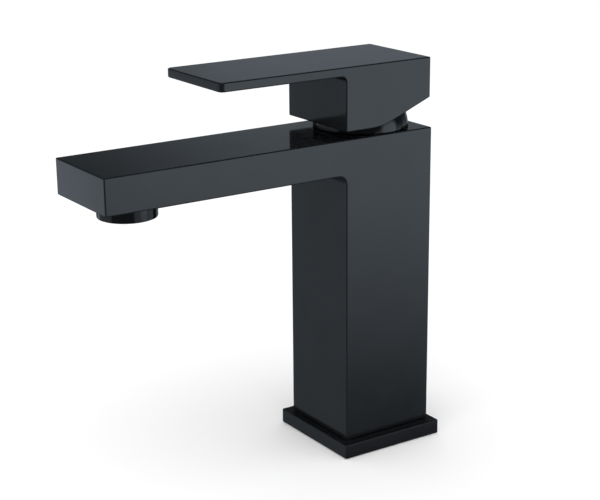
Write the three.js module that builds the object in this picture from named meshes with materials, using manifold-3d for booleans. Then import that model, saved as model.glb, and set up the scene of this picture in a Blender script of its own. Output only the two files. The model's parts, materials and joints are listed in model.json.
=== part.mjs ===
// Single-lever basin mixer with a square column, a flat square spout and a flat plate lever.
//
// The frame: +Z up, the spout points along -Y, and the origin is the column's centre line at
// the deck. Hot comes in on the left of a person who faces the spout, which is -X. The tap is
// modelled closed, with the lever level over the spout. Everything is in millimetres.
//
// Water comes in through the two ports in the foot, goes up the two pipes inside the column,
// through the valve cartridge, down into the column's chamber, up the passages in its two
// front corners and along the spout to the aerator.

import * as THREE from 'three';
import { mergeVertices } from 'three/addons/utils/BufferGeometryUtils.js';
import Module from 'manifold-3d';

// ---------------------------------------------------------------- driving dimensions

const GAP = 0.2; // between faces that touch on the real tap
const SLIDING_FIT = 0.3; // on the radius of a part that slides, turns or screws into another
const LOOSE_FIT = 0.4; // round a part that must never rub
const OVERLAP = 1; // how far a cutting or joining shape reaches past the face it meets

const BODY_WIDTH = 42;
const COLUMN_DEPTH = 44;
const BODY_HEIGHT = 139.5;
const SPOUT_THICKNESS = 15;
const SPOUT_TIP = 132; // from the column's centre line to the end of the spout
const INNER_CORNER_RADIUS = 4;
const WALL = 3;

const PLATE_SIZE = 50.5;
const PLATE_THICKNESS = 6.2;
const FOOT_INSET = 2.75; // from the column's faces to the foot that passes through the plate

const CARTRIDGE_RADIUS = 17.4; // the common 35 mm cartridge
const SEAT_HEIGHT = 108.7;
const PIVOT_HEIGHT = BODY_HEIGHT - 1; // the lever tilts about the centre of the domed cap
const DOME_RADIUS = 20.4;
const DOME_WALL = 1.8;
const DOME_MOUTH_RADIUS = 12;
const STEM_TILT = THREE.MathUtils.degToRad(12.5); // forward when the tap is closed

const INLET = { x: 7.5, y: -4.5, radius: 3 }; // at the seat
const OUTLET = { x: 0, y: 8, radius: 4.2 };
const DISC_INLET = { x: 4.5, y: -5.4, radius: 2.2 }; // through the fixed disc
const DISC_OUTLET = { x: 0, y: 6.2, radius: 3.6 };
const HOSE_THREAD_RADIUS = 4.6; // inside an M10 x 1 thread
const STUD_THREAD_RADIUS = 3.4; // inside an M8 thread
const STUD_Y = 11;
const FOOT_THREAD_DEPTH = 12; // of the hose threads and the stud thread

const HANDLE_WIDTH = 42.8;
const HANDLE_TIP = 81.4;
const HANDLE_REAR = 20.6;
const BLOCK_FRONT = 22.4;
const HANDLE_TOP = 169.5;
const LEVER_THICKNESS = 3.8;
const BLOCK_BOTTOM = 142.8;
const BLOCK_REAR_BOTTOM = 152.5;
const REAR_SLOPE = THREE.MathUtils.degToRad(21.5);

const AERATOR_Y = -112.3;
const AERATOR_RADIUS = 12.1;
const AERATOR_DROP = 7.2; // below the spout
const AERATOR_THREAD_RADIUS = 10.8; // M22 x 1

// ---------------------------------------------------------------- materials

const finish = (color, roughness, metalness) =>
  new THREE.MeshStandardMaterial({ color, roughness, metalness });

const blackCoat = finish(0x1d2023, 0.35, 0);
const brass = finish(0xb5935a, 0.35, 1);
const steel = finish(0xc2c4c6, 0.25, 1);
const ceramic = finish(0xf1efe9, 0.2, 0);
const whitePlastic = finish(0xe9e6dd, 0.45, 0);
const greyPlastic = finish(0x9aa0a6, 0.45, 0);
const redPlastic = finish(0xb3261f, 0.4, 0);
const rubber = finish(0x161616, 0.8, 0);

// ---------------------------------------------------------------- solids

const wasm = await Module();
wasm.setup();

// A closed three.js geometry as a manifold-3d solid with its faces pointing out.
function solid(geometry) {
  const bare = geometry.index ? geometry.toNonIndexed() : geometry.clone();
  bare.deleteAttribute('normal');
  bare.deleteAttribute('uv');
  const merged = mergeVertices(bare, 1e-4);
  const triVerts = new Uint32Array(merged.index.array);
  const vertProperties = new Float32Array(merged.attributes.position.array);
  const made = new wasm.Manifold(new wasm.Mesh({ numProp: 3, vertProperties, triVerts }));
  if (made.volume() > 0) return made;
  for (let i = 0; i < triVerts.length; i += 3) {
    [triVerts[i + 1], triVerts[i + 2]] = [triVerts[i + 2], triVerts[i + 1]];
  }
  return new wasm.Manifold(new wasm.Mesh({ numProp: 3, vertProperties, triVerts }));
}

// A named mesh of a solid.
function piece(name, shape, material) {
  const mesh = shape.getMesh();
  const geometry = new THREE.BufferGeometry()
    .setAttribute('position', new THREE.BufferAttribute(mesh.vertProperties, 3))
    .setIndex(new THREE.BufferAttribute(mesh.triVerts, 1));
  geometry.computeVertexNormals();
  const made = new THREE.Mesh(geometry, material);
  made.name = name;
  return made;
}

const addAll = (first, ...rest) => rest.reduce((all, one) => all.add(one), first);
const cut = (from, ...tools) => tools.reduce((left, tool) => left.subtract(tool), from);

// A box between two corners.
function block([x0, y0, z0], [x1, y1, z1]) {
  const box = new THREE.BoxGeometry(x1 - x0, y1 - y0, z1 - z0);
  return solid(box.translate((x0 + x1) / 2, (y0 + y1) / 2, (z0 + z1) / 2));
}

// A round bar along +Z from z0 to z1.
function rod(radius, z0, z1, x = 0, y = 0, sides = 32) {
  const bar = new THREE.CylinderGeometry(radius, radius, z1 - z0, sides);
  return solid(bar.rotateX(Math.PI / 2).translate(x, y, (z0 + z1) / 2));
}

// A round bar along +X, and one along +Y.
const barAlongX = (radius, halfLength, sides = 24) =>
  solid(new THREE.CylinderGeometry(radius, radius, 2 * halfLength, sides).rotateZ(Math.PI / 2));
const barAlongY = (radius, y0, y1, z, sides = 24) =>
  solid(new THREE.CylinderGeometry(radius, radius, y1 - y0, sides).translate(0, (y0 + y1) / 2, z));

const ball = (radius, sides, z = 0) =>
  solid(new THREE.SphereGeometry(radius, sides, sides / 2).rotateX(Math.PI / 2).translate(0, 0, z));

// A solid turned about +Z from a list of [radius, height], which closes on itself or the axis.
function turned(profile, sides = 32) {
  const points = profile.map(([radius, height]) => new THREE.Vector2(radius, height));
  if (profile[0][0] > 0) points.push(points[0].clone());
  return solid(new THREE.LatheGeometry(points, sides).rotateX(Math.PI / 2));
}

const ring = (inner, outer, z0, z1, sides = 28) =>
  turned([[inner, z0], [outer, z0], [outer, z1], [inner, z1]], sides);

const oRing = (radius, cord, z) =>
  solid(new THREE.TorusGeometry(radius, cord, 8, 28).translate(0, 0, z));

// A side view drawn as (y, z), given its width along X.
function sideExtrusion(shape, width, curveSegments = 10) {
  const made = new THREE.ExtrudeGeometry(shape, {
    depth: width,
    bevelEnabled: false,
    curveSegments,
  });
  return solid(made.translate(0, 0, -width / 2).rotateX(Math.PI / 2).rotateZ(Math.PI / 2));
}

// A plan view drawn as (x, y), from z0 up to z1.
function planExtrusion(shape, z0, z1, curveSegments = 10) {
  const made = new THREE.ExtrudeGeometry(shape, {
    depth: z1 - z0,
    bevelEnabled: false,
    curveSegments,
  });
  return solid(made.translate(0, 0, z0));
}

function polygon(points) {
  const shape = new THREE.Shape();
  shape.setFromPoints(points.map(([x, y]) => new THREE.Vector2(x, y)));
  return shape;
}

const hexagon = (acrossFlats, turn = 0) =>
  polygon(
    Array.from({ length: 6 }, (_, i) => {
      const angle = turn + (i * Math.PI) / 3;
      const radius = acrossFlats / Math.sqrt(3);
      return [radius * Math.cos(angle), radius * Math.sin(angle)];
    }),
  );

// The three water ports, where they go through the seat and where they go through the disc.
const threePorts = (inlet, outlet) => [
  { name: 'hot', ...inlet, x: -inlet.x },
  { name: 'cold', ...inlet },
  { name: 'outlet', ...outlet },
];
const seatPorts = threePorts(INLET, OUTLET);
const discPorts = threePorts(DISC_INLET, DISC_OUTLET);

// ---------------------------------------------------------------- body casting

const SPOUT_UNDERSIDE = BODY_HEIGHT - SPOUT_THICKNESS;
const SHOULDER = PLATE_THICKNESS + GAP; // the column's lower edge, which clamps the plate
const FOOT = { x: BODY_WIDTH / 2 - FOOT_INSET, y: COLUMN_DEPTH / 2 - FOOT_INSET };
const BORE_RADIUS = CARTRIDGE_RADIUS + LOOSE_FIT;
const NUT_BORE_RADIUS = 18.6;
const NUT_BORE_FLOOR = 133;
const CHAMBER_FLOOR = 16;
const CHAMBER_ROOF = 101;
const PIPE_RADIUS = 6.6;
const LOCATING_PIN = { x: 13.5, y: 3.5, radius: 1.4, length: 2.4 };
const WATERWAY = { floor: 127.2, roof: 136.8, halfWidth: BODY_WIDTH / 2 - WALL, back: -20.8 };
const PASSAGE = { x: 15.6, y: -16.8, radius: 3.2, slotInner: 12.8 }; // up each front corner
const BOSS_RADIUS = 13.6;
const BOSS_TOP = 133.6;
const AERATOR_BORE_TOP = 132.4;
const AERATOR_THROAT_RADIUS = 8.8;

function bodyOutside() {
  const front = -COLUMN_DEPTH / 2;
  const back = COLUMN_DEPTH / 2;
  const side = new THREE.Shape();
  side.moveTo(-SPOUT_TIP, SPOUT_UNDERSIDE);
  side.lineTo(front - INNER_CORNER_RADIUS, SPOUT_UNDERSIDE);
  side.absarc(
    front - INNER_CORNER_RADIUS,
    SPOUT_UNDERSIDE - INNER_CORNER_RADIUS,
    INNER_CORNER_RADIUS,
    Math.PI / 2,
    0,
    true,
  );
  side.lineTo(front, SHOULDER);
  side.lineTo(back, SHOULDER);
  side.lineTo(back, BODY_HEIGHT);
  side.lineTo(-SPOUT_TIP, BODY_HEIGHT);
  side.closePath();
  const foot = block([-FOOT.x, -FOOT.y, 0], [FOOT.x, FOOT.y, SHOULDER + OVERLAP]);
  return sideExtrusion(side, BODY_WIDTH).add(foot);
}

function columnChamber() {
  const x = BODY_WIDTH / 2 - WALL;
  const y = COLUMN_DEPTH / 2 - WALL;
  const pipes = seatPorts
    .slice(0, 2)
    .map((p) => rod(PIPE_RADIUS, CHAMBER_FLOOR - OVERLAP, CHAMBER_ROOF + OVERLAP, p.x, p.y, 24));
  return cut(block([-x, -y, CHAMBER_FLOOR], [x, y, CHAMBER_ROOF]), ...pipes);
}

function spoutWaterway() {
  const { floor, roof, halfWidth, back } = WATERWAY;
  const channel = block([-halfWidth, WALL - SPOUT_TIP, floor], [halfWidth, back, roof]);
  const boss = rod(BOSS_RADIUS, floor - OVERLAP, BOSS_TOP, 0, AERATOR_Y);
  const corners = [-1, 1].flatMap((side) => {
    const inner = side * PASSAGE.slotInner;
    const outer = side * halfWidth;
    return [
      rod(
        PASSAGE.radius,
        CHAMBER_ROOF - 2 * OVERLAP,
        floor + OVERLAP,
        side * PASSAGE.x,
        PASSAGE.y,
        20,
      ),
      block(
        [Math.min(inner, outer), back - OVERLAP, floor],
        [Math.max(inner, outer), PASSAGE.y, roof],
      ),
    ];
  });
  return addAll(channel.subtract(boss), ...corners);
}

function inletBore(port) {
  const { x, y, radius } = port;
  const hoseThread = rod(HOSE_THREAD_RADIUS, -OVERLAP, FOOT_THREAD_DEPTH, x, y, 24);
  const riser = rod(radius, FOOT_THREAD_DEPTH - OVERLAP, SEAT_HEIGHT + OVERLAP, x, y, 24);
  return hoseThread.add(riser);
}

function faucetBody() {
  const seatPinHoles = [-1, 1].map((side) =>
    rod(
      LOCATING_PIN.radius + SLIDING_FIT,
      SEAT_HEIGHT - LOCATING_PIN.length - LOOSE_FIT,
      SEAT_HEIGHT + OVERLAP,
      side * LOCATING_PIN.x,
      LOCATING_PIN.y,
      16,
    ),
  );
  return cut(
    bodyOutside(),
    rod(BORE_RADIUS, SEAT_HEIGHT, BODY_HEIGHT + OVERLAP, 0, 0, 40),
    rod(NUT_BORE_RADIUS, NUT_BORE_FLOOR, BODY_HEIGHT + OVERLAP, 0, 0, 40),
    ...seatPinHoles,
    ...seatPorts.slice(0, 2).map(inletBore),
    rod(
      OUTLET.radius,
      CHAMBER_ROOF - OVERLAP,
      SEAT_HEIGHT + OVERLAP,
      OUTLET.x,
      OUTLET.y,
      24,
    ),
    columnChamber(),
    spoutWaterway(),
    rod(
      AERATOR_THREAD_RADIUS + SLIDING_FIT,
      SPOUT_UNDERSIDE - OVERLAP,
      AERATOR_BORE_TOP,
      0,
      AERATOR_Y,
      40,
    ),
    rod(
      AERATOR_THROAT_RADIUS,
      AERATOR_BORE_TOP - OVERLAP,
      BOSS_TOP + OVERLAP,
      0,
      AERATOR_Y,
    ),
    rod(STUD_THREAD_RADIUS, -OVERLAP, FOOT_THREAD_DEPTH, 0, STUD_Y, 24),
  );
}

// ---------------------------------------------------------------- base plate and gasket

const GASKET = { inner: 21.1, outer: 23.1, height: 1.8 };

const squareRing = (innerHalf, outerHalf, z0, z1) =>
  cut(
    block([-outerHalf, -outerHalf, z0], [outerHalf, outerHalf, z1]),
    block([-innerHalf, -innerHalf, z0 - OVERLAP], [innerHalf, innerHalf, z1 + OVERLAP]),
  );

function basePlate() {
  const half = PLATE_SIZE / 2;
  const holeX = FOOT.x + GAP;
  const holeY = FOOT.y + GAP;
  return cut(
    block([-half, -half, 0], [half, half, PLATE_THICKNESS]),
    block([-holeX, -holeY, -OVERLAP], [holeX, holeY, PLATE_THICKNESS + OVERLAP]),
    squareRing(GASKET.inner - GAP, GASKET.outer + GAP, -OVERLAP, GASKET.height + GAP),
  );
}

const baseGasket = () => squareRing(GASKET.inner, GASKET.outer, 0, GASKET.height);

// ---------------------------------------------------------------- valve cartridge
// Heights in this section are above the seat.

const PLUG_RADIUS = 14.9;
const BASE = { flangeRadius: 17.2, flangeBottom: 0.4, flangeTop: 2.4, top: 5.6 };
const FIXED_DISC = { radius: 14.5, bottom: 6, top: 9.6, keywayRadius: 1.3 };
const MOVING_DISC = { radius: 12, bottom: 9.8, top: 13.1 };
const POCKET = { hub: 4.5, lobe: 8.6, lobeHalfAngle: THREE.MathUtils.degToRad(50), depth: 2 };
const CARRIER = { plateTop: 15, top: 19.6, halfWidth: 8, halfLength: 7.5 };
const SLIDE_FIT = 0.25; // each side of the carrier and of the stem
const ROTOR = { bottom: 15.3, shoulder: 22.3, top: 35.8, neckRadius: 10.8 };
const ROTOR_SLOT = { halfWidth: 4.4, halfLength: 6.6 }; // the stem swings in it
const PIVOT_PIN = { radius: 1.5, halfLength: 10.4 };
const PIVOT = PIVOT_HEIGHT - SEAT_HEIGHT;
const BALL_ARM = 11.5; // from the pivot down to the ball that pushes the disc
const BALL_RADIUS = 3;
const DISC_REST_Y = BALL_ARM * Math.sin(STEM_TILT);
const HOUSING = { bottom: 2.7, roof: 22.6, shoulder: 24.6, top: 33, neckRadius: 12.6 };
const HOUSING_GROOVE = { bottom: 18, top: 20, radius: 16 };
const HOUSING_RING = { radius: 16.9, cord: 0.8 };
const LIMIT_RING = { bottom: 33.3, top: 35, stopTop: 36, stopHalfWidth: 2.5 };
const SEAL_WIDTH = 1.6;
const SEAL_GROOVE_DEPTH = 1.2;
const PORT_SEAL = { bottom: 0.15, top: 1.45 }; // under the base
const DISC_SEAL = { bottom: 4.5, top: 5.8 }; // under the fixed disc

// A rubber ring round a port, and the groove that holds it.
const portSeal = (port, z0, z1) =>
  ring(port.radius + GAP, port.radius + GAP + SEAL_WIDTH, z0, z1, 24).translate(port.x, port.y, 0);
const portGroove = (port, z0, z1) =>
  rod(port.radius + SEAL_WIDTH + 2 * GAP, z0, z1, port.x, port.y, 24);
const portHole = (port, z0, z1) => rod(port.radius, z0, z1, port.x, port.y, 24);

function cartridgeBase() {
  const flange = rod(BASE.flangeRadius, BASE.flangeBottom, BASE.flangeTop, 0, 0, 36);
  const plug = rod(PLUG_RADIUS, BASE.flangeTop - 0.1, BASE.top, 0, 0, 36);
  const pins = [-1, 1].map((side) =>
    rod(
      LOCATING_PIN.radius,
      -LOCATING_PIN.length,
      BASE.flangeBottom + 0.6,
      side * LOCATING_PIN.x,
      LOCATING_PIN.y,
      16,
    ),
  );
  const middle = (BASE.flangeBottom + BASE.top) / 2;
  const share = 0.4; // how far the holes from below and above run past the middle
  const below = seatPorts.flatMap((p) => [
    portHole(p, -OVERLAP, middle + share),
    portGroove(p, -OVERLAP, BASE.flangeBottom + SEAL_GROOVE_DEPTH),
  ]);
  const aboveDisc = discPorts.flatMap((p) => [
    portHole(p, middle - share, BASE.top + OVERLAP),
    portGroove(p, BASE.top - SEAL_GROOVE_DEPTH, BASE.top + OVERLAP),
  ]);
  return cut(addAll(flange, plug, ...pins), ...below, ...aboveDisc);
}

function fixedDisc() {
  const { radius, bottom, top, keywayRadius } = FIXED_DISC;
  const keyways = [-1, 1].map((side) =>
    rod(keywayRadius, bottom - OVERLAP, top + OVERLAP, side * radius, 0, 12),
  );
  return cut(
    rod(radius, bottom, top, 0, 0, 40),
    ...keyways,
    ...discPorts.map((p) => portHole(p, bottom - OVERLAP, top + OVERLAP)),
  );
}

// The pocket under the moving disc joins the inlets to the outlet as the disc slides forward.
// Closed, its round hub lies on the spindle's axis and clear of both inlets at every turn.
function movingDisc() {
  const { radius, bottom, top } = MOVING_DISC;
  const start = Math.PI / 2 - POCKET.lobeHalfAngle;
  const end = Math.PI / 2 + POCKET.lobeHalfAngle;
  const pocket = new THREE.Shape();
  pocket.absarc(0, -DISC_REST_Y, POCKET.lobe, start, end, false);
  pocket.absarc(0, -DISC_REST_Y, POCKET.hub, end, start + 2 * Math.PI, false);
  return cut(
    rod(radius, bottom, top, 0, 0, 40),
    planExtrusion(pocket, bottom - OVERLAP, bottom + POCKET.depth),
  );
}

function discCarrier() {
  const { plateTop, top, halfWidth, halfLength } = CARRIER;
  const slider = [-halfWidth, -halfLength, plateTop - OVERLAP / 2];
  const socketFloor = PIVOT - BALL_ARM - BALL_RADIUS - 0.5; // clear of the ball
  return cut(
    rod(MOVING_DISC.radius, MOVING_DISC.top + GAP, plateTop, 0, 0, 40).add(
      block(slider, [halfWidth, halfLength, top]),
    ),
    rod(BALL_RADIUS + SLIDING_FIT, socketFloor, top + OVERLAP, 0, 0, 24),
  );
}

function spindleCarrier() {
  const { bottom, shoulder, top, neckRadius } = ROTOR;
  const { halfWidth, halfLength } = ROTOR_SLOT;
  const slideTop = CARRIER.top + LOOSE_FIT;
  const slide = CARRIER.halfWidth + SLIDE_FIT;
  const through = PLUG_RADIUS + 5;
  return cut(
    addAll(
      rod(PLUG_RADIUS, bottom, shoulder, 0, 0, 36),
      rod(neckRadius, shoulder - OVERLAP, top, 0, 0, 40),
    ),
    block([-slide, -through, bottom - OVERLAP], [slide, through, slideTop]),
    block(
      [-halfWidth, -halfLength, slideTop - OVERLAP],
      [halfWidth, halfLength, top + OVERLAP],
    ),
    barAlongX(PIVOT_PIN.radius + GAP, through, 16).translate(0, 0, PIVOT),
  );
}

function cartridgeHousing() {
  const { bottom, roof, shoulder, top, neckRadius } = HOUSING;
  const inner = PLUG_RADIUS + SLIDING_FIT;
  const neckInner = ROTOR.neckRadius + SLIDING_FIT;
  return turned([
    [inner, bottom],
    [CARTRIDGE_RADIUS, bottom],
    [CARTRIDGE_RADIUS, HOUSING_GROOVE.bottom],
    [HOUSING_GROOVE.radius, HOUSING_GROOVE.bottom],
    [HOUSING_GROOVE.radius, HOUSING_GROOVE.top],
    [CARTRIDGE_RADIUS, HOUSING_GROOVE.top],
    [CARTRIDGE_RADIUS, shoulder],
    [neckRadius, shoulder],
    [neckRadius, top],
    [neckInner, top],
    [neckInner, roof],
    [inner, roof],
  ]);
}

// The stop ring that keeps the lever from turning all the way to hot.
function hotLimitRing() {
  const { bottom, top, stopTop, stopHalfWidth } = LIMIT_RING;
  const inner = ROTOR.neckRadius + SLIDING_FIT;
  const outer = HOUSING.neckRadius;
  const stop = block([LOOSE_FIT - outer, -stopHalfWidth, bottom], [-inner, stopHalfWidth, stopTop]);
  return ring(inner, outer, bottom, top, 40).add(stop);
}

function cartridge() {
  const group = new THREE.Group();
  group.position.z = SEAT_HEIGHT;
  const ringHeight = (HOUSING_GROOVE.bottom + HOUSING_GROOVE.top) / 2;
  const housingRing = oRing(HOUSING_RING.radius, HOUSING_RING.cord, ringHeight);
  for (const port of seatPorts) {
    const seal = portSeal(port, PORT_SEAL.bottom, PORT_SEAL.top);
    group.add(piece(`${port.name}_port_seal`, seal, rubber));
  }
  for (const port of discPorts) {
    const seal = portSeal(port, DISC_SEAL.bottom, DISC_SEAL.top);
    group.add(piece(`${port.name}_disc_seal`, seal, rubber));
  }
  group.add(
    piece('cartridge_base', cartridgeBase(), whitePlastic),
    piece('fixed_ceramic_disc', fixedDisc(), ceramic),
    piece('cartridge_housing', cartridgeHousing(), whitePlastic),
    piece('housing_o_ring', housingRing, rubber),
    piece('hot_limit_ring', hotLimitRing(), redPlastic),
    piece('spindle_carrier', spindleCarrier(), greyPlastic),
  );

  const pin = piece('pivot_pin', barAlongX(PIVOT_PIN.radius, PIVOT_PIN.halfLength, 20), steel);
  pin.position.z = PIVOT;
  group.add(pin);

  const slider = new THREE.Group();
  slider.position.y = DISC_REST_Y;
  slider.add(
    piece('moving_ceramic_disc', movingDisc(), ceramic),
    piece('disc_carrier', discCarrier(), greyPlastic),
  );
  group.add(slider);
  return group;
}

// ---------------------------------------------------------------- nut and domed cap

const NUT = {
  bottom: 133.6,
  threadTop: 139,
  collarTop: 142,
  top: 145.5,
  collarRadius: 16.1,
  acrossFlats: 29,
};
const CAP_RING = { radius: 17.3, cord: 0.95 };

function retainingNut() {
  const { bottom, threadTop, collarTop, top, collarRadius, acrossFlats } = NUT;
  return cut(
    addAll(
      rod(NUT_BORE_RADIUS - SLIDING_FIT, bottom, threadTop, 0, 0, 36),
      rod(collarRadius, threadTop - OVERLAP / 2, collarTop, 0, 0, 36),
      planExtrusion(hexagon(acrossFlats), collarTop - OVERLAP / 2, top),
    ),
    rod(HOUSING.neckRadius + LOOSE_FIT, bottom - OVERLAP, top + OVERLAP, 0, 0, 36),
  );
}

// A spherical shell that stands on the body and hides the nut.
function domedCap() {
  const foot = BODY_HEIGHT + GAP - PIVOT_HEIGHT;
  const steps = 5;
  const arc = (radius, from, to) =>
    Array.from({ length: steps + 1 }, (_, i) => {
      const angle = from + ((to - from) * i) / steps;
      return [radius * Math.cos(angle), radius * Math.sin(angle)];
    });
  const angleAt = (radius, height) => Math.asin(height / radius);
  const mouthAngle = (radius) => Math.acos(DOME_MOUTH_RADIUS / radius);
  const inner = DOME_RADIUS - DOME_WALL;
  return turned(
    [
      ...arc(DOME_RADIUS, angleAt(DOME_RADIUS, foot), mouthAngle(DOME_RADIUS)),
      ...arc(inner, mouthAngle(inner), angleAt(inner, foot)),
    ],
    36,
  );
}

function nutAndCap() {
  const group = new THREE.Group();
  const cap = piece('domed_cap', domedCap(), blackCoat);
  cap.position.z = PIVOT_HEIGHT;
  const capRing = oRing(CAP_RING.radius, CAP_RING.cord, (NUT.threadTop + NUT.collarTop) / 2);
  group.add(
    piece('retaining_nut', retainingNut(), brass),
    piece('cap_o_ring', capRing, rubber),
    cap,
  );
  return group;
}

// ---------------------------------------------------------------- lever
// Heights in this section are above the pivot.

const above = (height) => height - PIVOT_HEIGHT;
const POCKET_RADIUS = DOME_RADIUS + LOOSE_FIT;
const STEM = { half: 4, bottom: 3, top: 28.5, eyeRadius: 4.6, neckRadius: 2.2 };
const HUB = { radius: 7, bottom: 12.5 };
const SCREW = { z: 24, radius: 2.4, tip: -0.3, length: 8, socket: 2.5, socketDepth: 3 };
const INDEX = { radius: 3.4, bottom: 17 };

// The underside runs level from the front, then curves up to the sloped rear.
function leverSideView() {
  const top = above(HANDLE_TOP);
  const underLever = top - LEVER_THICKNESS;
  const bottom = above(BLOCK_BOTTOM);
  const rearBottom = above(BLOCK_REAR_BOTTOM);
  const fillet = 2.5;
  const corner = HANDLE_REAR - (rearBottom - bottom) / Math.tan(REAR_SLOPE);
  const bend = 30;
  const tangent = bend * Math.tan(REAR_SLOPE / 2);
  const side = new THREE.Shape();
  side.moveTo(-HANDLE_TIP, underLever);
  side.lineTo(-BLOCK_FRONT - fillet, underLever);
  side.absarc(-BLOCK_FRONT - fillet, underLever - fillet, fillet, Math.PI / 2, 0, true);
  side.lineTo(-BLOCK_FRONT, bottom);
  side.lineTo(corner - tangent, bottom);
  side.absarc(corner - tangent, bottom + bend, bend, -Math.PI / 2, REAR_SLOPE - Math.PI / 2, false);
  side.lineTo(HANDLE_REAR, rearBottom);
  side.lineTo(HANDLE_REAR, top);
  side.lineTo(-HANDLE_TIP, top);
  side.closePath();
  return side;
}

function handle() {
  const tilted = (shape) => shape.rotate([THREE.MathUtils.radToDeg(STEM_TILT), 0, 0]);
  const { bottom, radius } = HUB;
  const socket = STEM.half + SLIDE_FIT;
  const socketTop = STEM.top + LOOSE_FIT;
  const hub = tilted(rod(radius, bottom, POCKET_RADIUS + 1.5 * OVERLAP));
  const beyond = HANDLE_REAR + OVERLAP;
  return cut(
    cut(sideExtrusion(leverSideView(), HANDLE_WIDTH), ball(POCKET_RADIUS, 36)).add(hub),
    tilted(block([-socket, -socket, bottom - OVERLAP], [socket, socket, socketTop])),
    barAlongY(SCREW.radius + SLIDING_FIT, SCREW.tip - OVERLAP, beyond, SCREW.z),
    barAlongY(INDEX.radius + GAP, INDEX.bottom - GAP, beyond, SCREW.z),
  );
}

function stem() {
  const { half, bottom, top, eyeRadius, neckRadius } = STEM;
  return cut(
    addAll(
      block([-half, -half, bottom], [half, half, top]),
      barAlongX(eyeRadius, half, 20),
      rod(neckRadius, -BALL_ARM, OVERLAP, 0, 0, 20),
      ball(BALL_RADIUS, 16, -BALL_ARM),
    ),
    barAlongX(PIVOT_PIN.radius + SLIDING_FIT, 10 * OVERLAP, 20),
  );
}

function setScrew() {
  const { z, radius, tip, length, socket, socketDepth } = SCREW;
  const hexSocket = planExtrusion(hexagon(socket), -socketDepth, OVERLAP).rotate([-90, 0, 0]);
  return cut(
    barAlongY(radius, tip, tip + length, z, 24),
    hexSocket.translate(0, tip + length, z),
  );
}

function temperatureIndex() {
  const { radius, bottom } = INDEX;
  return barAlongY(radius, bottom, HANDLE_REAR, SCREW.z, 28);
}

function lever() {
  const group = new THREE.Group();
  group.position.z = PIVOT_HEIGHT;
  const spindle = piece('lever_stem', stem(), brass);
  spindle.rotation.x = STEM_TILT;
  group.add(
    piece('lever_handle', handle(), blackCoat),
    piece('handle_set_screw', setScrew(), steel),
    piece('temperature_index', temperatureIndex(), redPlastic),
    spindle,
  );
  return group;
}

// ---------------------------------------------------------------- aerator
// Heights in this section are above the spout's underside.

const SHELL = { threadTop: 6.4, lipRadius: 8.7, chamfer: 0.5 };
const INSERT = { radius: 9.4, bottom: -5.2, top: 3.2 };
const CELL = { acrossFlats: 2.9, pitch: 3.5 };
const REGULATOR = { radius: 9.2, bottom: 3.5, top: 4.9, jets: 8, jetRadius: 1.3, jetCircle: 6 };
const SCREEN = { radius: 9.2, bottom: 5.2, top: 5.8, jets: 12, jetRadius: 1.2, jetCircle: 6.4 };
const WASHER = { inner: 8.9, outer: 10.7, bottom: 6.6, top: 7.7 };

function aeratorHousing() {
  const { threadTop, lipRadius, chamfer } = SHELL;
  const bore = INSERT.radius + SLIDING_FIT;
  return turned([
    [lipRadius, -AERATOR_DROP],
    [AERATOR_RADIUS - chamfer, -AERATOR_DROP],
    [AERATOR_RADIUS, chamfer - AERATOR_DROP],
    [AERATOR_RADIUS, -GAP],
    [AERATOR_THREAD_RADIUS, -GAP],
    [AERATOR_THREAD_RADIUS, threadTop],
    [bore, threadTop],
    [bore, INSERT.bottom - GAP],
    [lipRadius, INSERT.bottom - GAP],
  ]);
}

// Nineteen six-sided cells, in rings of one, six and twelve, make the stream.
function aeratorInsert() {
  const cell = hexagon(CELL.acrossFlats, Math.PI / 6);
  const rings = 2;
  const cells = [];
  for (let q = -rings; q <= rings; q += 1) {
    for (let r = -rings; r <= rings; r += 1) {
      if (Math.abs(q + r) > rings) continue;
      const x = CELL.pitch * (q + r / 2);
      const y = CELL.pitch * ((r * Math.sqrt(3)) / 2);
      const hole = planExtrusion(cell, INSERT.bottom - OVERLAP, INSERT.top + OVERLAP);
      cells.push(hole.translate(x, y, 0));
    }
  }
  return cut(rod(INSERT.radius, INSERT.bottom, INSERT.top, 0, 0, 40), ...cells);
}

// A plate with a ring of jets between its rim and its middle.
function jetPlate({ radius, bottom, top, jets, jetRadius, jetCircle }) {
  const holes = Array.from({ length: jets }, (_, i) => {
    const angle = (2 * Math.PI * i) / jets;
    const x = jetCircle * Math.cos(angle);
    const y = jetCircle * Math.sin(angle);
    return rod(jetRadius, bottom - OVERLAP, top + OVERLAP, x, y, 10);
  });
  return cut(rod(radius, bottom, top, 0, 0, 36), ...holes);
}

function aerator() {
  const group = new THREE.Group();
  group.position.set(0, AERATOR_Y, SPOUT_UNDERSIDE);
  const washer = ring(WASHER.inner, WASHER.outer, WASHER.bottom, WASHER.top, 36);
  group.add(
    piece('aerator_housing', aeratorHousing(), blackCoat),
    piece('aerator_insert', aeratorInsert(), greyPlastic),
    piece('flow_regulator', jetPlate(REGULATOR), whitePlastic),
    piece('aerator_screen', jetPlate(SCREEN), steel),
    piece('aerator_washer', washer, rubber),
  );
  return group;
}

// ---------------------------------------------------------------- the tap

const faucet = new THREE.Group();
faucet.add(
  piece('faucet_body', faucetBody(), blackCoat),
  piece('base_plate', basePlate(), blackCoat),
  piece('base_gasket', baseGasket(), rubber),
  cartridge(),
  nutAndCap(),
  lever(),
  aerator(),
);

export default faucet;
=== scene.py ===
# %% [markdown]
# # A square basin mixer in satin black
# This scene dresses a finished engineering model of a single-lever basin mixer. The model is
# the fixed frame: it says where every piece is, how large it is and which piece moves with
# which. Here each piece that shows is made again with the fine things that a working model
# leaves out, such as rounded edges, screw threads and the wire of the aerator's screen.
# Lengths are in metres, +Z is up and the spout points along -Y.

# %% Load the frame
import json
import math

import bmesh
import bpy
from mathutils import Matrix, Vector


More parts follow.
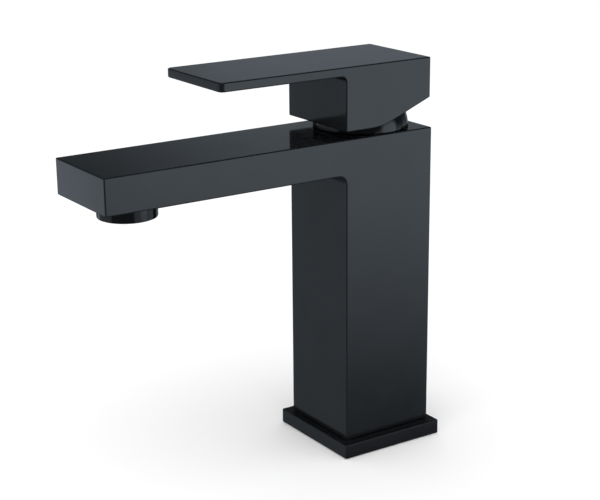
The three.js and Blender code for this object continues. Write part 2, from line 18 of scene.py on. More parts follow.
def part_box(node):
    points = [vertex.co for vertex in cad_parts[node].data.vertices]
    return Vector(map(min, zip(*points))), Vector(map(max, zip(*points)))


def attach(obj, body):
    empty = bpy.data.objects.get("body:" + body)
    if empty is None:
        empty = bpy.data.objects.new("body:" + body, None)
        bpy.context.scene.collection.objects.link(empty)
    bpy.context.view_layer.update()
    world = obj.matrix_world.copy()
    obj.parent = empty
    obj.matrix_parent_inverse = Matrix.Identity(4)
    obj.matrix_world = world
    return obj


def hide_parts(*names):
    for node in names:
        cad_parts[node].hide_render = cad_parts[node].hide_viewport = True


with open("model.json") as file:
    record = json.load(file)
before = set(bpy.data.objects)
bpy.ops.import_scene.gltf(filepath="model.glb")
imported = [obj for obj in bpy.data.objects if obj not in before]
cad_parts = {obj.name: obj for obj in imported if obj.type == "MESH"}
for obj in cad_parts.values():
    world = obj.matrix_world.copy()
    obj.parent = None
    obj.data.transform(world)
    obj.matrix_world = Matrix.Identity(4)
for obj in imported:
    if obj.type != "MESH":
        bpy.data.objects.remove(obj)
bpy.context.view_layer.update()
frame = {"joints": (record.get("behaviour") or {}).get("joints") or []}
pivot = {j["name"]: Vector(j["pos_m"]) for j in frame["joints"] if "pos_m" in j}
MM = 0.001
GAP = 0.2 * MM  # between faces that touch


def add_object(name, data):
    made = bpy.data.objects.new(name, data)
    bpy.context.scene.collection.objects.link(made)
    return made


def facing(place, direction):
    """The matrix of a camera or lamp at a place, with its back to a direction."""
    return Matrix.Translation(place) @ direction.to_track_quat("Z", "Y").to_matrix().to_4x4()


def towards(azimuth, height):
    """The direction at an azimuth from +X and a height above the horizon, in degrees."""
    azimuth, height = math.radians(azimuth), math.radians(height)
    level = math.cos(height)
    return Vector((math.cos(azimuth) * level, math.sin(azimuth) * level, math.sin(height)))


# %% [markdown]
# ## Camera
# A tap looks like itself from its front corner, a little above, through a long lens that keeps
# its upright edges nearly parallel. The camera is placed by the angle round the column, the
# angle above the deck and the distance, so it can be walked round the tap by one number. The
# lens is shifted up by a fiftieth of the frame to leave the same room above and below.

# %% Camera
CAMERA_TARGET = Vector((0, -0.0315, 0.084))
CAMERA_DISTANCE = 0.6433
CAMERA_ROUND = 56.46  # degrees from straight in front, towards the tap's right side
CAMERA_ABOVE = 17.33  # degrees
CAMERA_ROLL = math.radians(-0.51)
CAMERA_LENS_MM = 90.6
CAMERA_SHIFT_UP = 0.0196
CAMERA_CLIP_START = 0.01


def make_camera():
    from_target = towards(CAMERA_ROUND - 90, CAMERA_ABOVE)
    data = bpy.data.cameras.new("front_corner")
    data.lens = CAMERA_LENS_MM
    data.shift_y = CAMERA_SHIFT_UP
    data.clip_start = CAMERA_CLIP_START
    camera = add_object("front_corner", data)
    roll = Matrix.Rotation(CAMERA_ROLL, 4, "Z")
    camera.matrix_world = facing(CAMERA_TARGET + CAMERA_DISTANCE * from_target, from_target) @ roll
    bpy.context.scene.camera = camera
    return camera


camera = make_camera()
print("camera at", [round(v, 3) for v in camera.matrix_world.translation])

# %% [markdown]
# ## Nodes
# The room, the finishes and the repeating shapes are all node trees. This kit adds a node in one
# line, with its inputs linked or set. A node's output is kept as a Value, so that sums between
# nodes read as sums. A material's uniform values are set on its shader's own sockets, and its
# patterns read Object coordinates. The pieces all keep their objects at the origin, so one
# pattern runs through the whole tap at one scale, as one spray or one polish does.

# %% A kit for nodes and materials
class Value:
    """A node's output. A sum of values, or of a value and a number, adds a Math node."""

    def __init__(self, socket):
        self.socket = socket

    def maths(self, operation, *others):
        values = dict(enumerate((self, *others)))
        return out(self.socket.id_data, "ShaderNodeMath", values, operation=operation)

    def __add__(self, other):
        return self.maths("ADD", other)

    def __sub__(self, other):
        return self.maths("SUBTRACT", other)

    def __mul__(self, other):
        return self.maths("MULTIPLY", other)

    def __truediv__(self, other):
        return self.maths("DIVIDE", other)


def plug(node, inputs):
    """Links or sets a node's inputs, by name or number."""
    for key, value in inputs.items():
        if isinstance(value, Value):
            node.id_data.links.new(value.socket, node.inputs[key])
        else:
            node.inputs[key].default_value = value


def add_node(tree, kind, inputs=None, **settings):
    made = tree.nodes.new(kind)
    for key, value in settings.items():
        setattr(made, key, value)
    plug(made, inputs or {})
    return made


def out(tree, kind, inputs=None, output=0, **settings):
    """Adds a node and gives one of its outputs."""
    return Value(add_node(tree, kind, inputs, **settings).outputs[output])


NOISE_LOW, NOISE_HIGH = 0.3, 0.7  # nearly all of a noise lies between these


def new_material(name, roughness, **sockets):
    material = bpy.data.materials.new(name)
    material.use_nodes = True
    shader = material.node_tree.nodes["Principled BSDF"]
    named = {key.replace("_", " "): value for key, value in sockets.items()}
    plug(shader, {"Roughness": roughness, **named})
    return material, material.node_tree, shader


def place_in(tree, stretch=(1, 1, 1)):
    """Object coordinates in millimetres, stretched along each axis."""
    where = out(tree, "ShaderNodeTexCoord", output="Object")
    return out(tree, "ShaderNodeMapping", {"Vector": where, "Scale": [s / MM for s in stretch]})


def noise(tree, place, per_mm, detail, rough=0.5):
    inputs = {"Vector": place, "Scale": per_mm, "Detail": detail, "Roughness": rough}
    return out(tree, "ShaderNodeTexNoise", inputs, "Fac")


def tint(shader, amount, dark, light, places=(NOISE_LOW, NOISE_HIGH), blend="LINEAR"):
    """Lets the colour follow a 0 to 1 value, from dark to light."""
    node = add_node(shader.id_data, "ShaderNodeValToRGB", {"Fac": amount})
    node.color_ramp.interpolation = blend
    for element, place, colour in zip(node.color_ramp.elements, places, (dark, light)):
        element.position = place
        element.color = (*colour, 1)
    plug(shader, {"Base Color": Value(node.outputs["Color"])})


def wear(shader, roughness, sheen, grain, depth_mm, strength):
    """Lets the roughness follow one 0 to 1 value and the relief another."""
    tree = shader.id_data
    span = {"Value": sheen, "From Min": NOISE_LOW, "From Max": NOISE_HIGH}
    span.update({"To Min": roughness[0], "To Max": roughness[1]})
    bump = {"Height": grain, "Distance": depth_mm * MM, "Strength": strength}
    plug(
        shader,
        {
            "Roughness": out(tree, "ShaderNodeMapRange", span, "Result"),
            "Normal": out(tree, "ShaderNodeBump", bump, "Normal"),
        },
    )


def finish(name, dark, light, roughness, pattern, **sockets):
    """A finish whose tone, sheen and grain are noises, each from its size, detail and roughness."""
    material, tree, shader = new_material(name, roughness[0], **sockets)
    place = place_in(tree, pattern.get("stretch", (1, 1, 1)))
    tone, sheen, grain = (noise(tree, place, *pattern[key]) for key in ("tone", "sheen", "grain"))
    tint(shader, tone, dark, light)
    wear(shader, roughness, sheen, grain, *pattern["relief"])
    return material


print("kit: a Value for sums between nodes, and a finish from three noises")

# %% [markdown]
# ## Studio
# Black gloss has almost no colour of its own, so what the eye reads as its shape is the room
# that it mirrors. So the room has large dim panels: two along the right that light the broad
# sides and fade out downwards, a row round the front left, and a faint one low behind for the
# tops. From the front corner the tap's edges mirror none of them, so they stay thin dark lines.
# The rest of the panels are mirrored only in views from other sides and from above, and keep
# those from going black. Lamps could do it, but a panel without edges is easier to paint
# straight into the world. Each panel is a direction, the angles from it at which it starts to
# fade and is gone, and a strength, and where two overlap the brighter one counts. Mirrored rays
# see the panels. Other rays see plain soft white.

# %% World of soft panels
PANELS = [  # name, azimuth from +X and height above the horizon, full within, gone beyond, strength
    ("right side", 32, -3, 9.5, 23, 1.42),
    ("right side, further", 43, -3, 9.5, 23, 1.42),
    ("front left", -140, -9, 6, 31, 0.30),
    ("front left, nearer", -122, -9, 14, 21, 0.32),
    ("front", -104, -9, 14, 20, 0.42),
    ("left end", -162, -14, 7, 13, 0.68),
    ("low behind", 145, 8, 3, 12, 0.21),
    ("overhead", 0, 90, 14, 32, 0.35),
    ("high front", -55, 38, 8, 22, 0.30),
    ("behind", 92, -18, 8, 24, 0.40),
    ("rear left", 125, -14, 8, 24, 0.32),
    ("right end", 12, -13, 8, 18, 0.55),
    ("far right", 68, -18, 12, 22, 0.52),
    ("low right", 52, -36, 9, 16, 0.60),
    ("low left", -138, -37, 9, 15, 0.34),
]
PANEL_TINT = (0.77, 0.89, 1.0)
WHITE = (1, 1, 1, 1)
ROOM_MIRRORED = 0.06
ROOM_SOFT = 1.02


def panel(tree, direction, name, azimuth, height, full, gone, strength):
    """A panel's brightness in a direction."""
    ends = {0: direction, 1: towards(azimuth, height)}
    turned_to = out(tree, "ShaderNodeVectorMath", ends, "Value", operation="DOT_PRODUCT", label=name)
    fade = {"Value": turned_to.maths("ARCCOSINE"), "From Min": math.radians(gone)}
    fade.update({"From Max": math.radians(full), "To Max": strength})
    return out(tree, "ShaderNodeMapRange", fade, "Result", interpolation_type="SMOOTHSTEP")


def make_world():
    world = bpy.data.worlds.new("soft_panels")
    world.use_nodes = True
    bpy.context.scene.world = world
    tree = world.node_tree
    tree.nodes.clear()
    direction = out(tree, "ShaderNodeTexCoord", output="Generated")
    brightest = 0
    for spec in PANELS:
        brightest = panel(tree, direction, *spec).maths("MAXIMUM", brightest)
    panels = {"Color": (*PANEL_TINT, 1), "Strength": brightest + ROOM_MIRRORED}
    mirrored = out(tree, "ShaderNodeBackground", panels)
    soft = out(tree, "ShaderNodeBackground", {"Color": WHITE, "Strength": ROOM_SOFT})
    glossy = out(tree, "ShaderNodeLightPath", output="Is Glossy Ray")
    either = out(tree, "ShaderNodeMixShader", {"Fac": glossy, 1: soft, 2: mirrored})
    add_node(tree, "ShaderNodeOutputWorld", {"Surface": either})
    world.cycles.sampling_method = "NONE"  # a ray finds a panel only by being mirrored to it


make_world()
bpy.context.scene.view_settings.view_transform = "Standard"
print("world:", len(PANELS), "panels")

# %% [markdown]
# ## Floor
# The tap stands on a plain pale floor that runs out of sight on every side. A thin plate
# with a whisper of variation in its tone keeps it from looking like a cut-out. The panels are
# meant to be what the black coat mirrors, so the floor is left out of mirrored rays.

# %% Floor and lamp
FLOOR_RADIUS = 6.0
FLOOR_DROP = 0.3 * MM
FLOOR_LIGHT = 0.965
FLOOR_DARK = 0.985 * FLOOR_LIGHT
FLOOR_ROUGHNESS = 0.9
FLOOR_CLOUDS_PER_METRE = 2.0
LAMP_PLACE = Vector((0.5, -0.5, 1.4))
LAMP_SIZE = 1.2
LAMP_POWER = 5.0


def make_floor():
    bm = bmesh.new()
    bmesh.ops.create_circle(bm, cap_ends=True, segments=96, radius=FLOOR_RADIUS)
    bmesh.ops.translate(bm, verts=bm.verts, vec=(0, 0, -FLOOR_DROP))
    mesh = bpy.data.meshes.new("floor")
    bm.to_mesh(mesh)
    bm.free()
    floor = add_object("floor", mesh)
    material, tree, shader = new_material("pale_floor", FLOOR_ROUGHNESS, Specular_IOR_Level=0.0)
    place = out(tree, "ShaderNodeTexCoord", output="Object")
    inputs = {"Vector": place, "Scale": FLOOR_CLOUDS_PER_METRE}
    cloud = out(tree, "ShaderNodeTexNoise", inputs, "Fac")
    ends = {"A": (*[FLOOR_LIGHT] * 3, 1), "B": (*[FLOOR_DARK] * 3, 1), "Factor": cloud}
    plug(shader, {"Base Color": out(tree, "ShaderNodeMix", ends, "Result", data_type="RGBA")})
    mesh.materials.append(material)
    floor.visible_glossy = False


def make_lamp():
    data = bpy.data.lights.new("overhead_softbox", "AREA")
    data.shape = "DISK"
    data.size = LAMP_SIZE
    data.energy = LAMP_POWER
    lamp = add_object("overhead_softbox", data)
    lamp.matrix_world = facing(LAMP_PLACE, LAMP_PLACE)
    lamp.visible_glossy = False


make_floor()
make_lamp()
print("floor:", FLOOR_RADIUS, "m, lamp:", LAMP_SIZE, "m")

# %% [markdown]
# ## Satin black coat
# The castings are polished, then sprayed and baked with a thin black coat. Close up it has a
# very fine orange peel, and its sheen drifts a little from place to place. It mirrors dark
# things sharply at a low angle, so the roughness stays low, and the drift is kept small.

# %% Satin black coat
SPRAYED = {"tone": (0.05, 3), "sheen": (0.12, 4), "grain": (2.2, 3, 0.6), "relief": (0.0012, 0.5)}
coat = finish(
    "satin_black_coat", (0.0060, 0.0068, 0.0078), (0.0085, 0.0094, 0.0106), (0.09, 0.13), SPRAYED
)
# the plate's coat is the satin coat made darker: painted shade for the plate, which lies dark under the
# column
shaded_plate_coat = finish(
    "plate_coat_painted_shade", (0.005, 0.0052, 0.0062), (0.007, 0.0073, 0.0084), (0.09, 0.13), SPRAYED
)
gloss_coat = finish(
    "gloss_black_coat", (0.0035, 0.0037, 0.0042), (0.005, 0.0052, 0.0058), (0.07, 0.10), SPRAYED
)
print("coats:", coat.name, shaded_plate_coat.name, gloss_coat.name)

# %% [markdown]
# ## Metals, ceramic, plastics and rubber
# Inside, nothing is sprayed. Turned brass keeps the rings of the lathe, so its relief reads only
# the distance from the tap's centre line. Stainless parts are drawn or punched and have a fine
# grain along one axis. The ceramic discs are lapped flat, nearly a mirror, with faint speckles.
# Moulded acetal has the soft grain of its tool, and the rubber is matt with a dusty bloom.

# %% Inside finishes
GRAIN, SPECKLE, BLOOM = (3.0, 4, 0.6), (3.5, 5, 0.7), (0.5, 5, 0.65)
DRAWN = {"tone": GRAIN, "sheen": GRAIN, "grain": GRAIN, "relief": (0.003, 0.5)}
DRAWN["stretch"] = (0.08, 2.5, 2.5)
LAPPED = {"tone": SPECKLE, "sheen": (0.6, 2), "grain": SPECKLE, "relief": (0.0006, 0.3)}
MOULDED = {"tone": (0.3, 3), "sheen": (6.0, 2), "grain": (6.0, 2), "relief": (0.006, 0.5)}
RUBBERY = {"tone": BLOOM, "sheen": BLOOM, "grain": (8.0, 2), "relief": (0.008, 0.6)}
TURNED = {"tone": (0.25, 3), "rings": {"Scale": 9.0, "Detail": 2.0}, "relief": (0.004, 0.6)}
PRINTED = {"places": (0.0, 0.5), "grain": (5.0, 2), "relief": (0.004, 0.4)}
MOULDED_ROUGHNESS = (0.38, 0.48)


def turned_metal(name, dark, light, roughness, pattern):
    material, tree, shader = new_material(name, roughness[0], Metallic=1.0)
    tint(shader, noise(tree, place_in(tree), *pattern["tone"]), dark, light)
    flat = {0: place_in(tree, (1, 1, 0))}
    radius = out(tree, "ShaderNodeVectorMath", flat, "Value", operation="LENGTH")
    inputs = {"W": radius, **pattern["rings"]}
    rings = out(tree, "ShaderNodeTexNoise", inputs, "Fac", noise_dimensions="1D")
    wear(shader, roughness, rings, rings, *pattern["relief"])
    return material


def in_halves(name, hot, cold, roughness, pattern):
    """One colour on the hot side and one on the cold side of the tap's middle."""
    material, tree, shader = new_material(name, roughness[0])
    place = place_in(tree)
    across = out(tree, "ShaderNodeSeparateXYZ", {"Vector": place}, "X")
    side = across.maths("MULTIPLY_ADD", 0.5, 0.5)
    tint(shader, side, hot, cold, pattern["places"], "CONSTANT")
    grain = noise(tree, place, *pattern["grain"])
    wear(shader, roughness, grain, grain, *pattern["relief"])
    return material


def acetal(name, dark, light):
    return finish(name, dark, light, MOULDED_ROUGHNESS, MOULDED)


brass = turned_metal("turned_brass", (0.60, 0.42, 0.19), (0.70, 0.52, 0.27), (0.22, 0.36), TURNED)
steel = finish(
    "stainless_steel", (0.55, 0.56, 0.57), (0.68, 0.69, 0.70), (0.20, 0.34), DRAWN, Metallic=1.0
)
ceramic = finish(
    "lapped_ceramic", (0.80, 0.78, 0.73), (0.88, 0.865, 0.82), (0.06, 0.12), LAPPED,
    Specular_IOR_Level=0.6,
)
white_acetal = acetal("white_acetal", (0.70, 0.68, 0.62), (0.78, 0.76, 0.70))
grey_acetal = acetal("grey_acetal", (0.20, 0.215, 0.23), (0.26, 0.275, 0.29))
red_acetal = acetal("red_acetal", (0.40, 0.022, 0.018), (0.50, 0.032, 0.026))
rubber = finish("black_rubber", (0.010, 0.010, 0.011), (0.024, 0.024, 0.025), (0.58, 0.78), RUBBERY)
index_colours = in_halves(
    "hot_and_cold_index", (0.50, 0.018, 0.015), (0.012, 0.06, 0.42), (0.22, 0.34), PRINTED
)
print("finishes:", len([m for m in bpy.data.materials if m.name != "pale_floor"]))

# %% [markdown]
# ## Tools for shaping
# A foundry and a lathe make a tap, and these few tools do the same. `prism` is the extrusion of
# a drawn outline, `turned` is the lathe, `cut` and `join` are the milling cutter and the weld,
# and `soften` breaks the sharp edges. Each tool leaves a plain closed mesh behind, because the
# next one works on what is really there.

# %% Shaping tools
ARC_STEP = math.radians(6)
WELD = 1e-7
SLIVER = 0.001 * MM
SHARP = math.radians(32)


def arc(radius, start, sweep, steps):
    """The points of an arc about the origin."""
    angles = [start + sweep * k / steps for k in range(steps + 1)]
    return [(radius * math.cos(a), radius * math.sin(a)) for a in angles]


def rounded(points, radii):
    """An outline with arcs in place of its corners. A radius of 0 keeps the corner."""
    outline = []
    for i, (corner, radius) in enumerate(zip(points, radii)):
        corner = Vector(corner)
        if radius == 0:
            outline.append(corner)
            continue
        before = (Vector(points[i - 1]) - corner).normalized()
        after = (Vector(points[(i + 1) % len(points)]) - corner).normalized()
        half = before.angle(after) / 2
        centre = corner + (before + after).normalized() * (radius / math.sin(half))
        start = corner + before * (radius / math.tan(half)) - centre
        sweep = start.angle_signed(corner + after * (radius / math.tan(half)) - centre)
        steps = max(2, math.ceil(abs(sweep) / ARC_STEP))
        turns = [Matrix.Rotation(-sweep * k / steps, 2) for k in range(steps + 1)]
        outline += [centre + turn @ start for turn in turns]
    return outline


def weld(bm):
    bmesh.ops.remove_doubles(bm, verts=bm.verts, dist=WELD)
    bmesh.ops.recalc_face_normals(bm, faces=bm.faces)


def as_object(name, bm):
    weld(bm)
    mesh = bpy.data.meshes.new(name)
    bm.to_mesh(mesh)
    bm.free()
    return add_object(name, mesh)


def remesh(obj, change):
    """Lets a function change a piece's mesh."""
    bm = bmesh.new()
    bm.from_mesh(obj.data)
    change(bm)
    bm.to_mesh(obj.data)
    bm.free()
    return obj


ALONG = {  # an outline's two axes and the axis it is pushed along
    "X": lambda u, v, w: (w, u, v),
    "Y": lambda u, v, w: (u, w, v),
    "Z": lambda u, v, w: (u, v, w),
}


def prism(name, outline, axis, low, high):
    bm = bmesh.new()
    ends = [[bm.verts.new(ALONG[axis](u, v, w)) for u, v in outline] for w in (low, high)]
    bm.faces.new(ends[0])
    bm.faces.new(ends[1])
    for i in range(len(outline)):
        bm.faces.new((ends[0][i - 1], ends[0][i], ends[1][i], ends[1][i - 1]))
    return as_object(name, bm)


def box(name, low, high, corner=0.0):
    """A block, with its upright edges rounded to a radius."""
    outline = [(low[0], low[1]), (high[0], low[1]), (high[0], high[1]), (low[0], high[1])]
    return prism(name, rounded(outline, [corner] * 4), "Z", low[2], high[2])


def turned(name, profile, centre=(0, 0, 0), axis="Z", sides=96):
    """Turns (radius, height) points about an axis. They close on themselves or on the axis.
    A flat end is one face."""
    bm = bmesh.new()
    rings = []
    for radius, height in profile:
        ring = []
        for k in range(1 if radius == 0 else sides):
            angle = 2 * math.pi * k / sides
            u, v = radius * math.cos(angle), radius * math.sin(angle)
            ring.append(bm.verts.new(Vector(ALONG[axis](u, v, height)) + Vector(centre)))
        rings.append(ring)
    if profile[0][0] > 0:
        rings.append(rings[0])
    heights = [height for _, height in profile] + [profile[0][1]]
    for i, (low, high) in enumerate(zip(rings, rings[1:])):
        if 1 in (len(low), len(high)) and heights[i] == heights[i + 1]:
            bm.faces.new(max(low, high, key=len))
            continue
        for k in range(sides):
            n = (k + 1) % sides
            corners = [low[k % len(low)], low[n % len(low)], high[n % len(high)], high[k % len(high)]]
            unique = list(dict.fromkeys(corners))
            if len(unique) > 2:
                bm.faces.new(unique)
    loose = [v for v in bm.verts if not v.link_faces]
    bmesh.ops.delete(bm, geom=loose, context="VERTS")
    return as_object(name, bm)


def rod(name, radius, low, high, centre=(0, 0, 0), axis="Z", sides=64):
    return turned(name, [(0, low), (radius, low), (radius, high), (0, high)], centre, axis, sides)


def chamfered(radius, low, high, chamfer):
    """The profile of a rod with a chamfer at both ends."""
    profile = [(0, low), (radius - chamfer, low), (radius, low + chamfer)]
    return profile + [(radius, high - chamfer), (radius - chamfer, high), (0, high)]


def both_sides(place):
    """A place given by its x and y, left and right of the tap's middle."""
    return [(side * place["x"], place["y"], 0) for side in (-1, 1)]


def settle(obj):
    """Turns the piece and its modifiers into one plain mesh."""
    bpy.context.view_layer.update()
    graph = bpy.context.evaluated_depsgraph_get()
    mesh = bpy.data.meshes.new_from_object(obj.evaluated_get(graph))
    old = obj.data
    obj.modifiers.clear()
    obj.data = mesh
    bpy.data.meshes.remove(old)
    mesh.name = obj.name
    return obj


def combine(obj, operation, others):
    for other in others:
        step = obj.modifiers.new("combine", "BOOLEAN")
        step.operation = operation
        step.solver = "EXACT"
        step.object = other
        settle(obj)
        bpy.data.objects.remove(other)
    return obj


def cut(obj, *others):
    return combine(obj, "DIFFERENCE", others)


def join(obj, *others):
    return combine(obj, "UNION", others)


def soften(obj, width, segments=3, angle=30):
    """Rounds every edge that turns by more than the angle."""
    step = obj.modifiers.new("soften", "BEVEL")
    step.width = width
    step.segments = segments
    step.limit_method = "ANGLE"
    step.angle_limit = math.radians(angle)
    return settle(obj)


def round_edges(obj, chosen, radius, segments):
    """Rounds the edges whose middle point passes a test, to a larger radius."""
    how = {"offset": radius, "segments": segments, "profile": 0.5, "affect": "EDGES"}

    def bevel(bm):
        edges = [e for e in bm.edges if chosen((e.verts[0].co + e.verts[1].co) / 2, e)]
        bmesh.ops.bevel(bm, geom=edges, **how)

    return remesh(obj, bevel)


def close_slivers(bm):
    """Takes away what cutting and rounding leave behind."""
    bmesh.ops.remove_doubles(bm, verts=bm.verts, dist=SLIVER)
    bmesh.ops.dissolve_degenerate(bm, edges=bm.edges, dist=SLIVER)


def dress(obj, body, slot_name, material, *nodes):
    """Shades a finished piece, gives it its finish, and hands it to the frame."""
    remesh(obj, close_slivers)
    for polygon in obj.data.polygons:
        polygon.use_smooth = True
    obj.data.set_sharp_from_angle(angle=SHARP)
    even = obj.modifiers.new("even", "WEIGHTED_NORMAL")
    even.keep_sharp = True
    settle(obj)
    obj.data.materials.clear()
    obj.data.materials.append(material)
    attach(obj, body)
    if nodes:
        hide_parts(*nodes)
    print(f"{obj.name}: {len(obj.data.polygons)} faces on {body}")
    return obj


print("shaping: prism, box, turned, rod, cut, join, soften, round_edges and dress")

# %% [markdown]
# ## Body casting
# The column and the spout are one casting: a flat outline pushed straight through to the tap's
# width, with a small radius only where the spout leaves the column. It is cored for water: two
# pipes rise inside the column to the cartridge's seat, mixed water fills the space round them,
# climbs the two front corners and runs along the spout. The outside is made first and its edges
# are broken, and every bore is cut after that, so the bores' own rims stay crisp.

# %% Body: the outside
body_low, body_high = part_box("faucet_body")
plate_low, plate_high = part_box("base_plate")
SPOUT_THICKNESS = 15 * MM
INNER_CORNER_RADIUS = 4 * MM
WALL = 3 * MM
EDGE = 0.55 * MM
FOOT_INSET = 2.75 * MM  # the foot passes down through the plate
FOOT_CORNER_RADIUS = 1 * MM
column_half = body_high.y
spout_under = body_high.z - SPOUT_THICKNESS
shoulder = plate_high.z + GAP
foot_half = (body_high.x - FOOT_INSET, column_half - FOOT_INSET)


def body_outside():
    corners = [
        (body_low.y, spout_under),
        (-column_half, spout_under),
        (-column_half, shoulder),
        (column_half, shoulder),
        (column_half, body_high.z),
        (body_low.y, body_high.z),
    ]
    outline = rounded(corners, [0, INNER_CORNER_RADIUS, 0, 0, 0, 0])
    outside = soften(prism("cast_body", outline, "X", body_low.x, body_high.x), EDGE)
    low, high = (-foot_half[0], -foot_half[1], 0), (*foot_half, shoulder + WALL / 2)
    return join(outside, box("foot", low, high, FOOT_CORNER_RADIUS))


body = body_outside()
print("body outside:", len(body.data.polygons), "faces")

# %% [markdown]
# ### Screw threads
# A thread is a rule, so it is made by Geometry Nodes: a point's height divided by the pitch,
# less its angle as a share of a turn, says where it is between one crest and the next. The tree
# takes any turned piece that has enough rows of points and pulls the points of its outer wall
# in towards the axis by that share of the depth, fading out at both ends as a cut thread does.
# The same tree makes outside threads and the taps that cut the inside ones.

# %% A geometry nodes kit and the thread tree
SOCKETS = {int: "NodeSocketInt", float: "NodeSocketFloat", tuple: "NodeSocketVector"}


def new_tree(name, sizes):
    """A modifier's tree, with these named sizes, a centre and a material as its inputs."""
    tree = bpy.data.node_groups.new(name, "GeometryNodeTree")
    add = tree.interface.new_socket
    add("Geometry", in_out="OUTPUT", socket_type="NodeSocketGeometry")
    add("Geometry", in_out="INPUT", socket_type="NodeSocketGeometry")
    for label, value in {**sizes, "Centre": (0, 0, 0)}.items():
        add(label, in_out="INPUT", socket_type=SOCKETS[type(value)]).default_value = value
    add("Material", in_out="INPUT", socket_type="NodeSocketMaterial")
    given = tree.nodes.new("NodeGroupInput").outputs
    return tree, {socket.name: Value(socket) for socket in given if socket.name}


def end_tree(tree, given, geometry):
    """Makes what a tree has laid out real, gives it its material and hands it out."""
    real = out(tree, "GeometryNodeRealizeInstances", {"Geometry": geometry})
    worn = {"Geometry": real, "Material": given["Material"]}
    add_node(tree, "NodeGroupOutput", {0: out(tree, "GeometryNodeSetMaterial", worn)})
    return tree


def placed(tree, given, geometry):
    """Ends a tree whose geometry is made at the origin, by moving it to the given centre."""
    moved = {"Geometry": geometry, "Translation": given["Centre"]}
    return end_tree(tree, given, out(tree, "GeometryNodeTransform", moved))


def vector(tree, x=0.0, y=0.0, z=0.0):
    return out(tree, "ShaderNodeCombineXYZ", {"X": x, "Y": y, "Z": z})


def parts(tree, value):
    """A vector's x, y and z."""
    return [Value(s) for s in add_node(tree, "ShaderNodeSeparateXYZ", {0: value}).outputs]


def compare(tree, a, operation, b):
    return out(tree, "FunctionNodeCompare", {"A": a, "B": b}, "Result", operation=operation)


def apply_tree(obj, tree, material, centre, sizes):
    """Runs a tree on a piece with these inputs and keeps the result as a plain mesh."""
    step = obj.modifiers.new(tree.name, "NODES")
    step.node_group = tree
    sockets = {s.name: s.identifier for s in tree.interface.items_tree if s.in_out == "INPUT"}
    for label, value in {**sizes, "Centre": centre, "Material": material}.items():
        step[sockets[label]] = value
    return settle(obj)


def from_tree(name, tree, material, centre, sizes):
    """A new piece made wholly by a tree."""
    return apply_tree(add_object(name, bpy.data.meshes.new(name)), tree, material, centre, sizes)


WALL_SHARE = 0.995  # of the outer radius, beyond which a point is on the outer wall
ROWS_PER_TURN = 6
TAP_LEAD = 0.6 * MM


def thread(radius, pitch, depth):
    return {"Outer radius": radius, "Pitch": pitch, "Depth": depth}


def thread_tree():
    sizes = {**thread(10 * MM, 1 * MM, 0.5 * MM), "From": 0.0, "To": 10 * MM}
    tree, given = new_tree("screw_thread", sizes)
    pitch = given["Pitch"]
    position = out(tree, "GeometryNodeInputPosition")
    from_axis = {0: position, 1: given["Centre"]}
    x, y, z = parts(tree, out(tree, "ShaderNodeVectorMath", from_axis, operation="SUBTRACT"))
    flat = {0: vector(tree, x, y)}
    radius = out(tree, "ShaderNodeVectorMath", flat, "Value", operation="LENGTH")
    inward = out(tree, "ShaderNodeVectorMath", flat, operation="NORMALIZE")
    turn = y.maths("ARCTAN2", x) / (2 * math.pi)
    wave = (z / pitch - turn).maths("PINGPONG", 0.5) * 2.0
    height = parts(tree, position)[2]
    starting = (height - given["From"]) / pitch
    fade = starting.maths("MINIMUM", (given["To"] - height) / pitch)
    size = wave * out(tree, "ShaderNodeClamp", {0: fade}) * given["Depth"]
    pull = {0: inward, "Scale": size * -1.0}
    moved = {
        "Geometry": given["Geometry"],
        "Selection": compare(tree, radius, "GREATER_THAN", given["Outer radius"] * WALL_SHARE),
        "Offset": out(tree, "ShaderNodeVectorMath", pull, operation="SCALE"),
    }
    return end_tree(tree, given, out(tree, "GeometryNodeSetPosition", moved))


THREAD = thread_tree()


def thread_rows(spec, low, high):
    """The points of a wall that is going to be threaded, from its low end to its high end."""
    rows = math.ceil((high - low) / spec["Pitch"] * ROWS_PER_TURN)
    return [(spec["Outer radius"], low + (high - low) * k / rows) for k in range(rows + 1)]


def threaded(obj, material, spec, low, high, centre=(0, 0, 0)):
    return apply_tree(obj, THREAD, material, centre, {**spec, "From": low, "To": high})


def screw_tap(spec, high, centre):
    """A tap with a chamfer at its foot, which cuts a threaded hole from the deck up."""
    radius, lead = spec["Outer radius"], TAP_LEAD
    profile = [(0, -MM), (radius + lead, -MM), (radius + lead, 0), (radius, lead)]
    profile += thread_rows(spec, lead, high)[1:] + [(0, high)]
    return threaded(turned("tap", profile, centre, sides=60), coat, spec, lead, high, centre)


print("thread tree:", len(THREAD.nodes), "nodes")

# %% [markdown]
# ### Body: cores and bores
# The big bore takes the cartridge and, above it, the nut's thread. Its seat has two pin holes
# and three ports. The sand core's shape, the space left round the two inlet pipes, is a block
# with the pipes taken out of it before it is itself taken out of the casting. Under the foot are
# two tapped ports for the hoses and a tapped hole for the fixing stud.

# %% Body: everything that is cut out
SEAT = 108.7 * MM
CARTRIDGE_BORE = 17.8 * MM
NUT_BORE = {"radius": 18.9 * MM, "floor": 133 * MM, "chamfer": 0.5 * MM}
CHAMBER = {"floor": 16 * MM, "roof": 101 * MM}
CORE_CORNER_RADIUS = 2 * MM
INLET = {"x": 7.5 * MM, "y": -4.5 * MM, "radius": 3 * MM, "pipe": 6.6 * MM}
OUTLET = {"y": 8 * MM, "radius": 4.2 * MM}
SEAT_PIN = {"x": 13.5 * MM, "y": 3.5 * MM, "radius": 1.7 * MM, "depth": 2.8 * MM}
WATERWAY = {"floor": 127.2 * MM, "roof": 136.8 * MM, "back": -20.8 * MM}
PASSAGE = {"x": 15.6 * MM, "y": -16.8 * MM, "radius": 3.2 * MM, "overlap": 0.4 * MM}
BEND_INSET = 0.1 * MM
BOSS = {"radius": 13.6 * MM, "top": 133.6 * MM}
AERATOR_BORE = {"radius": 11.1 * MM, "top": 132.4 * MM, "throat": 8.8 * MM, "chamfer": 0.4 * MM}
